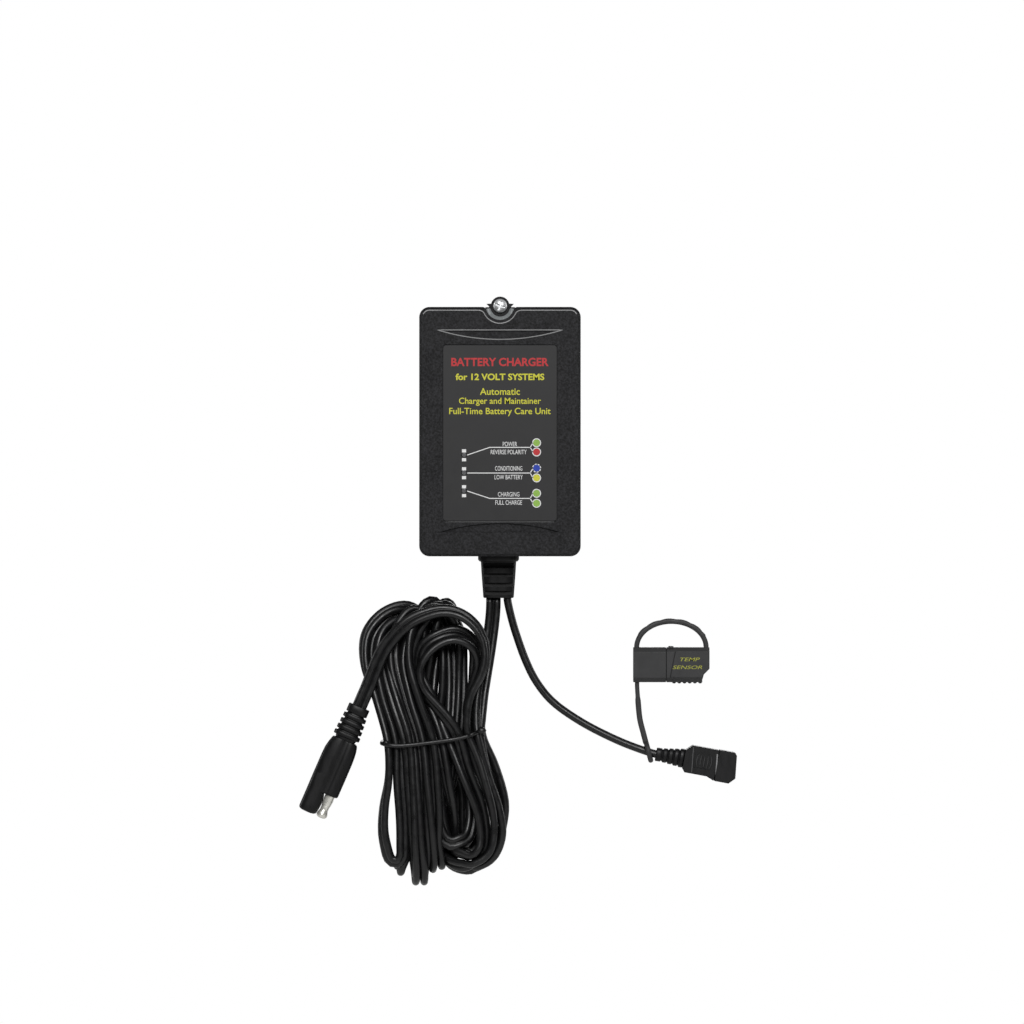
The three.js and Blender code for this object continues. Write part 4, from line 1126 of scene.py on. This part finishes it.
def add_mounting_screw():
    """A pan-head screw with a cross slot; ring grooves stand for its thread."""
    profile = [(0, 20), (0.5, 19.6), (1.2, 18.6)]
    y = THREAD_START
    while y > THREAD_END:
        profile += [(CREST_RADIUS, y - 0.2), (CREST_RADIUS, y - 0.32), (ROOT_RADIUS, y - 0.62)]
        y -= THREAD_PITCH
    profile += [(1.62, 0.2), (1.62, SCREW_SEAT), (2.55, SCREW_SEAT)]
    profile.append((HEAD_RADIUS, SCREW_SEAT - 0.18))
    for degrees in range(8, 91, 9):
        a = math.radians(degrees)
        profile.append((HEAD_RADIUS * math.cos(a) ** 0.75, SCREW_SEAT - 0.5 - 1.75 * math.sin(a)))
    profile.append((0.02, SCREW_SEAT - 2.28))
    rings = []
    for radius, depth in profile:
        rings.append([(x, depth, z) for x, z in disc(SCREW_X, SCREW_Z, max(radius, 0.02), 48)])
    body = lofted("mounting_screw_head", rings)
    front = SCREW_SEAT - 4
    back = SCREW_SEAT - 1.0
    for angle in SLOT_TURNS:
        cutter = blocks("cross", [((-1.95, front, -0.36), (1.95, back, 0.36))])
        cutter.transform(Matrix.Rotation(math.radians(angle), 4, "Y"))
        cutter.transform(Matrix.Translation((0, 0, SCREW_Z * MM)))
        body = cut(body, cutter)
    body = rounded_edges(body, 0.07, 38)
    screw = add_piece("zinc_screw", body, "zinc", "mounting_screw_body")
    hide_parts("mounting_screw")


# ---------- strain relief ----------

GLAND_X = -0.6
GLAND_TOP = -83.4
SLOTS = ((-86.2, -88.3), (-90.4, -91.8), (-94.1, -95.6), (-97.3, -98.8))
SLOT_HALF = 6.9  # the boot's half width at this level, how fast it tapers, and the wall left beside a slot
SLOT_LEVEL = -86.5
BOOT_TAPER = 0.066
SLOT_WALL = 0.75


def add_strain_relief():
    sections = [
        (-81.4, 5.2, 3.7),
        (GLAND_TOP, 5.2, 3.7),
        (GLAND_TOP, 7.85, 5.3),
        (GLAND_TOP - 0.2, 8.05, 5.5),
        (-85.0, 8.05, 5.5),
        (-85.7, 7.5, 5.0),
        (-85.8, 6.98, 4.6),
        (-86.5, 6.9, 4.5),
        (-90, 6.72, 4.35),
        (-95, 6.35, 4.1),
        (-99.7, 6.0, 3.8),
        (-100.0, 5.85, 3.65),
        (-100.1, 5.5, 3.3),
    ]
    rings = []
    for z, wide, thick in sections:
        rings.append([(GLAND_X + x, CORD_Y + y, z) for x, y, z in oval(wide, thick, z, power=3.4)])
    body = lofted("strain_relief_boot", rings)
    boxes = []
    for high, low in SLOTS:
        half = SLOT_HALF + (low - SLOT_LEVEL) * BOOT_TAPER - SLOT_WALL
        for side in (-1, 1):
            near, far = sorted((side * 2.2, side * 6))
            boxes.append(((GLAND_X - half, CORD_Y + near, low), (GLAND_X + half, CORD_Y + far, high)))
    body = cut(body, blocks("slots", boxes))
    body = rounded_edges(body, 0.16, 38)
    boot = add_piece("strain_relief_boot", body, "boot_rubber")
    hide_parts("strain_relief")


# ---------- tie ----------


def add_tie():
    """A wire tie drawn tight round the waist, with a knob at each end of its front run."""
    half_x, half_y, corner = 19.3, 12.75, 4.2
    path = []
    for sx, sy, start in ((1, -1, -90), (1, 1, 0), (-1, 1, 90), (-1, -1, 180)):
        bend = arc_points(sx * (half_x - corner), sy * (half_y - corner), corner, start, start + 90, 10)
        path += [(x, y, 0) for x, y in bend]
    path.append(path[0])
    line = respaced(np.array(path), 1.0)
    across = line[:, 0] / half_x
    line[:, 2] = (-1.55 + 0.6 * across + 2.1 * across**4) * np.clip(0.5 - line[:, 1] / half_y, 0, 1)
    line += np.array([-27.2, -22, WAIST_Z])
    line[:, 2] += (line[:, 0] - WAIST_X) * WAIST_TILT
    mesh = swept("wire_tie", line, (0, 0, 1), [(0.8 * u, 0.62 * v) for u, v in round_section(1.0, 12)])
    tie = add_piece("wire_tie", mesh, "cord_rubber")
    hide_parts("cord_tie")
    for name, x, size in (("tie_knob_left", -44.6, 0.95), ("tie_knob_right", -7.2, 1.45)):
        z = WAIST_Z + (x - WAIST_X) * WAIST_TILT + 0.6 + 0.6 * (x - WAIST_X) / half_x
        rings = []
        for t in np.linspace(-1, 1, 9):
            r = max(size * math.sqrt(max(0, 1 - t * t)), 0.05)
            rings.append([(x + t * size * 1.3, -33.4 + v, z + u) for u, v in round_section(r, 14)])
        add_piece(name, lofted(name, rings), "cord_rubber")
    return tie


# ---------- two-pole plug ----------

POLE = 3.2  # the socket's distance from the plug's centre line
PIN_X = 3.3


def add_plug_boot():
    sizes = [(0, -3.3, 4.3, 3.5)]
    for i in range(4):
        start = -3.95 - i * 2.5
        sizes.append((start, start - 1.75, 4.7 + i * 0.225, 3.6 + i * 0.05))
    sections = ribs(1.0, sizes, 0.3)
    sections.append((-14.35, 3.95, 2.7))
    rings = [oval(wide, thick, z, power=2.9) for z, wide, thick in sections]
    mesh = placed(lofted("plug_relief", rings), PLUG_LEAN, PLUG_PLACE)
    boot = add_piece("plug_relief", mesh, "boot_rubber")
    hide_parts("plug_boot")
    return boot


def twin_barrel(left, right, thick, z, count=56):
    """A section of two round barrels side by side with a shallow valley between them."""
    ring = []
    for a in np.linspace(0, 2 * math.pi, count, endpoint=False):
        c, s = math.cos(a), math.sin(a)
        half = right if c > 0 else left
        x = half * math.copysign(abs(c) ** 0.78, c)
        y = thick * math.copysign(abs(s) ** 0.62, s)
        valley = 0.2 * math.exp(-(((x - 0.9) / 1.1) ** 2))
        ring.append((x, y * (1 - valley), z))
    return ring


# The shrouded leg's outline towards its tip: (z, left edge, right edge, half thickness).
PLUG_LEG = (
    (-30.0, -6.3, -1.6, 3.1),
    (-36.0, -6.37, 0.6, 3.2),
    (-38.0, -6.37, 1.2, 3.25),
    (-41.0, -6.37, 1.5, 3.25),
    (-43.0, -6.37, 1.35, 3.25),
    (-44.8, -6.35, 1.05, 3.25),
    (-45.4, -6.1, 0.8, 3.1),
    (-45.8, -5.5, 0.1, 2.7),
    (-46.0, -4.5, -0.9, 1.9),
)


def leg_ring(z, left, right, thick):
    middle, half = (left + right) / 2, (right - left) / 2
    return [(x + middle, y, z) for x, y, z in oval(half, thick, z, power=2.7)]


def round_ring(middle, radius, z, count=40):
    """A circle square to Z, its centre that far from the plug's centre line."""
    return [(middle + x, y, z) for x, y, z in oval(radius, radius, z, power=2, count=count)]


def add_plug_body():
    sections = [
        (-14.3, 4.3, 4.5, 2.7),
        (-14.5, 4.9, 5.1, 3.0),
        (-15.2, 5.2, 5.5, 3.1),
        (-17.0, 5.75, 5.95, 3.2),
        (-19.5, 6.25, 6.25, 3.28),
        (-22.5, 6.38, 6.38, 3.3),
        (-29.0, 6.4, 6.4, 3.3),
        (-35.9, 6.38, 6.36, 3.3),
        (-36.4, 6.3, 6.25, 3.22),
        (-36.7, 6.0, 5.9, 2.95),
    ]
    body = lofted("plug_shell", [twin_barrel(a, b, t, z) for z, a, b, t in sections])
    leg = lofted("leg", [leg_ring(*section) for section in PLUG_LEG])
    body = cut(body, leg, "UNION")
    for x, radius, ends in ((-POLE, 2.1, (-36, -47)), (PIN_X, 2.15, (-35.4, -38))):
        body = cut(body, lofted("bore", [round_ring(x, radius, z) for z in ends]))
    body = rounded_edges(body, 0.2, 42)
    body = placed(body, PLUG_LEAN, PLUG_PLACE)
    shell = add_piece("plug_shell", body, "boot_rubber")
    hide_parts("plug_body")
    return shell


def add_plug_pin():
    profile = [
        (-34.5, 1.95),
        (-38.6, 2.0),
        (-40.2, 1.88),
        (-41.6, 1.6),
        (-42.8, 1.58),
        (-43.8, 1.9),
        (-44.6, 2.16),
        (-45.3, 2.1),
        (-45.8, 1.7),
        (-46.1, 1.05),
        (-46.2, 0.05),
    ]
    rings = [round_ring(PIN_X, radius, z, 32) for z, radius in profile]
    mesh = placed(lofted("plug_pin_bright", rings), PLUG_LEAN, PLUG_PLACE)
    pin = add_piece("plug_pin_bright", mesh, "nickel")
    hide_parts("plug_pin")
    return pin


# ---------- sensor lead and connector ----------

SENSOR_ROUTE = [
    (2.9, CORD_Y, -99.2),
    (2.9, CORD_Y, -100.7),
    (4.7, CORD_Y, -108.8),
    (7.1, CORD_Y, -116.6),
    (10.0, CORD_Y, -124.5),
    (13.9, CORD_Y, -132.4),
    (20.2, CORD_Y, -140.4),
    (31.4, CORD_Y, -148.5),
    (46.0, CORD_Y, -156.0),
    (56.0, CORD_Y, -159.9),
    (60.8, CORD_Y, -161.4),
    (64.8, CORD_Y, -162.4),
]
SOCKET_LEAN = math.radians(10.5)
SOCKET_PLACE = (61.3, CORD_Y, -161.6)


def add_sensor_lead():
    line = smooth_line(SENSOR_ROUTE, 1.6)
    mesh = swept("thin_lead", line, DEPTH_WAY, round_section(LEAD_RADIUS, 20))
    lead = add_piece("thin_lead", mesh, "cord_rubber")
    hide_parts("sensor_lead")
    return lead, line


def add_sensor_boot():
    sizes = [(0, 2.2, 2.7, 2.5)]
    for i in range(4):
        start = 2.75 + i * 2.2
        sizes.append((start, start + 1.7, 2.85 + i * 0.3, 2.7 + i * 0.2))
    sections = ribs(0.42, sizes, 0.28)
    sections.append((11.2, 3.1, 2.7))
    rings = [oval(wide, thick, x, "X", 0.05 + x * 0.035, 2.8) for x, wide, thick in sections]
    mesh = placed(lofted("sensor_relief", rings), SOCKET_LEAN, SOCKET_PLACE)
    boot = add_piece("sensor_relief", mesh, "boot_rubber")
    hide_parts("sensor_boot")
    return boot


GRIP_MIDDLE = 19.0
GRIP_PITCH = 1.45
GRIP_HALF = 2.7


def add_connector_lines():
    """The grip panel's two edge strips, painted lighter grey as highlights, and its five bowed ridges."""
    front = -4.3
    made = []
    # Both edge strips are painted lighter grey than the panel, as highlights.
    for name, x, low, high, wide, finish in (
        ("panel_highlight_left", 14.5, -4.2, 5.6, 0.3, DIM_HIGHLIGHT_GREY),
        ("panel_highlight_right", 24.15, -3.6, 4.6, 0.6, LINE_HIGHLIGHT_GREY),
    ):
        lean = math.tan(SOCKET_LEAN)
        corners = ((-wide / 2, low), (wide / 2, low), (wide / 2, high), (-wide / 2, high))
        outline = [(x + shift - lean * z * 0.6, z) for shift, z in corners]
        edge = rounded_edges(plates(name, [outline], front + 0.1, front - 0.26), 0.08)
        made.append(add_object(name, placed(edge, SOCKET_LEAN, SOCKET_PLACE), finish))
    for i in range(5):
        bow = (i - 2) * 0.28
        middle = GRIP_MIDDLE + (i - 2) * GRIP_PITCH
        heights = np.linspace(-GRIP_HALF, GRIP_HALF, 16)
        line = np.array([(middle - bow * (z / GRIP_HALF) ** 2, front - 0.3, z + 0.7) for z in heights])
        swell = np.cos(np.linspace(-1.25, 1.25, 16))[:, None, None]
        section = np.array(round_section(1.0, 12))[None] * np.array([0.36, 0.4]) * swell
        mesh = placed(swept(f"grip_{i + 1}", line, (1, 0, 0), section), SOCKET_LEAN, SOCKET_PLACE)
        made.append(add_object(f"grip_{i + 1}", mesh, FINISHES["tag_plastic"]))
    return made


# ---------- temperature sensor tag ----------

TAG_TOP, TAG_LOW = -119.5, -133.2
TAG_FRONT = -25.8
MODULE = "sensor_module_body"
PANEL_OUTLINE = (
    (69.0, -120.9),
    (81.6, -120.9),
    (81.9, -121.3),
    (81.9, -128.2),
    (79.9, -130.0),
    (79.3, -131.2),
    (66.8, -131.2),
)
SEAM_OUTLINE = ((68.7, -121.2), (69.05, -121.2), (67.05, -131.2), (66.7, -131.2))


def add_tag_panel():
    front = TAG_FRONT - 0.22
    panel = plates("tag_panel", [PANEL_OUTLINE], TAG_FRONT + 0.3, front)
    add_piece("tag_panel", rounded_edges(panel, 0.12), "tag_plastic", body=MODULE)
    for name, words, x, z, width in (
        ("tag_word_1", "TEMP", 74.6, -124.2, 7.8),
        ("tag_word_2", "SENSOR", 73.6, -127.3, 11.6),
    ):
        mesh = lettering(name, words, x, z, width, 1.4, front, 0.004, 0.25)
        add_object(name, mesh, DULL_YELLOW_INK, MODULE)
    seam = plates("tag_seam", [SEAM_OUTLINE], front + 0.1, front - 0.05)
    add_piece("tag_seam", seam, "boot_rubber", body=MODULE)
    seal = blocks("tag_seal", [((65.28, -25.45, TAG_LOW + 0.4), (65.52, -18.55, TAG_TOP - 0.4))])
    add_piece("tag_seal", seal, "boot_rubber", body=MODULE)
    ridge = blocks("tag_ridge", [((66.2, -25.4, TAG_TOP - 0.5), (68.2, -18.6, TAG_TOP + 0.45))])
    add_piece("tag_ridge", rounded_edges(ridge, 0.3, segments=3), "tag_plastic", body=MODULE)


def rounded_strap(wide, thick, count=20):
    return [(x, y) for x, y, _ in oval(wide / 2, thick / 2, 0, power=4, count=count)]


def add_loop_strap():
    middle, half, rise = 67.4, 13.7, 10.2
    foot = TAG_TOP - 0.7
    turn = np.linspace(math.pi, 0, 110)
    depth = np.full(len(turn), float(CORD_Y))
    line = np.stack([middle + half * np.cos(turn), depth, foot + 0.7 + rise * np.sin(turn)], 1)
    line = np.vstack([[line[0, 0], CORD_Y, foot], line, [line[-1, 0], CORD_Y, foot]])
    section = np.array(rounded_strap(4.4, 2.1))
    sections = np.repeat(section[None], len(line), 0)
    inner = section[:, 1] > 0
    for i in range(len(line)):
        teeth = 0.24 * abs(math.sin(i * 0.21)) if 16 < i < len(line) - 16 else 0
        sections[i, inner, 1] += teeth - 0.1
    mesh = swept("moulded_loop", line, DEPTH_WAY, sections)
    strap = bpy.data.objects.new("moulded_loop", mesh)
    bpy.context.scene.collection.objects.link(strap)
    mesh.materials.append(FINISHES["tag_plastic"])
    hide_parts("loop_strap")
    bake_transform(strap)


EYE_PLACE = (58.4, CORD_Y, -160.6)
EYE_LEAN = math.radians(-14.6)


def add_tether():
    points = [
        (53.9, CORD_Y, TAG_LOW + 0.8),
        (53.9, CORD_Y, -134.4),
        (54.1, CORD_Y, -138),
        (55, CORD_Y, -147.7),
        (56.3, CORD_Y, -153),
        (57.4, CORD_Y, -157.2),
    ]
    line = smooth_line(points, 0.8)
    sections = []
    for z in line[:, 2]:
        neck = 1 + 0.26 / (1 + math.exp((-139.6 - z) * -3))
        sections.append([(u, v * neck) for u, v in rounded_strap(2.6, 1.75)])
    strap = swept("tether_strap", line, DEPTH_WAY, np.array(sections))
    piece = add_piece("tether_strap", strap, "tag_plastic", "sensor_cap_body")
    turn = np.linspace(0, 2 * math.pi, 49)
    ring = np.stack([np.zeros(49), 3.6 * np.cos(turn), 3.6 * np.sin(turn)], 1)
    eye = swept("tether_eye", ring, (1, 0, 0), [(u, 0.85 * v) for u, v in round_section(1.0, 14)])
    add_piece("tether_eye", placed(eye, EYE_LEAN, EYE_PLACE), "tag_plastic", "sensor_cap_body")
    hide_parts("tether")


# ---------- stage and light ----------


def add_light(name, place, size, power, aim=(0, 0, -0.08)):
    data = bpy.data.lights.new(name, "AREA")
    data.energy = power
    data.shape = "RECTANGLE"
    data.size, data.size_y = size
    light = bpy.data.objects.new(name, data)
    light.location = place
    light.rotation_euler = (Vector(aim) - Vector(place)).to_track_quat("-Z", "Y").to_euler()
    bpy.context.scene.collection.objects.link(light)


def add_stage():
    world = bpy.data.worlds.new("studio")
    world.use_nodes = True
    tree = world.node_tree
    soft = tree.nodes["Background"]
    soft.inputs["Color"].default_value = (1, 1, 1, 1)
    soft.inputs["Strength"].default_value = 0.09
    white = tree.nodes.new("ShaderNodeBackground")
    white.inputs["Color"].default_value = (1, 1, 1, 1)
    white.inputs["Strength"].default_value = 1.0
    path = tree.nodes.new("ShaderNodeLightPath")
    mix = tree.nodes.new("ShaderNodeMixShader")
    tree.links.new(path.outputs["Is Camera Ray"], mix.inputs["Fac"])
    tree.links.new(soft.outputs["Background"], mix.inputs[1])
    tree.links.new(white.outputs["Background"], mix.inputs[2])
    tree.links.new(mix.outputs["Shader"], tree.nodes["World Output"].inputs["Surface"])
    bpy.context.scene.world = world
    bpy.context.scene.view_settings.view_transform = "Standard"
    floor = blocks("floor", [((-700, -700, -360), (700, 700, -350))])
    board = bpy.data.objects.new("floor", floor)
    paper = Finish("floor_paper", (0.9, 0.9, 0.89), 0.6)
    floor.materials.append(paper.tint(paper.noise(1.2), 0.98, 1.0).material)
    bpy.context.scene.collection.objects.link(board)
    add_light("front", (0.15, -2.4, 0.95), (1.3, 0.9), 45)
    add_light("top", (0.0, -1.1, 1.35), (1.5, 0.6), 5)
    add_light("left", (-1.7, 0.5, 0.3), (0.4, 1.3), 7)
    add_light("right", (1.7, 0.5, 0.3), (0.4, 1.3), 7)
    add_light("back", (0.3, 1.6, 0.5), (1.2, 1.0), 10)


# ---------- putting it together ----------

add_camera()
lead, lead_line = add_output_lead()
thin_lead, thin_line = add_sensor_lead()
finish_cad()
add_strain_relief()
tie = add_tie()
plug = [add_plug_boot(), add_plug_body(), add_plug_pin()]
sensor_boot = add_sensor_boot()
connector = add_connector_lines()
add_label_print()
add_beads()
add_seam_lip()
add_ear_dish()
add_mounting_screw()
add_tag_panel()
add_loop_strap()
add_tether()
add_stage()
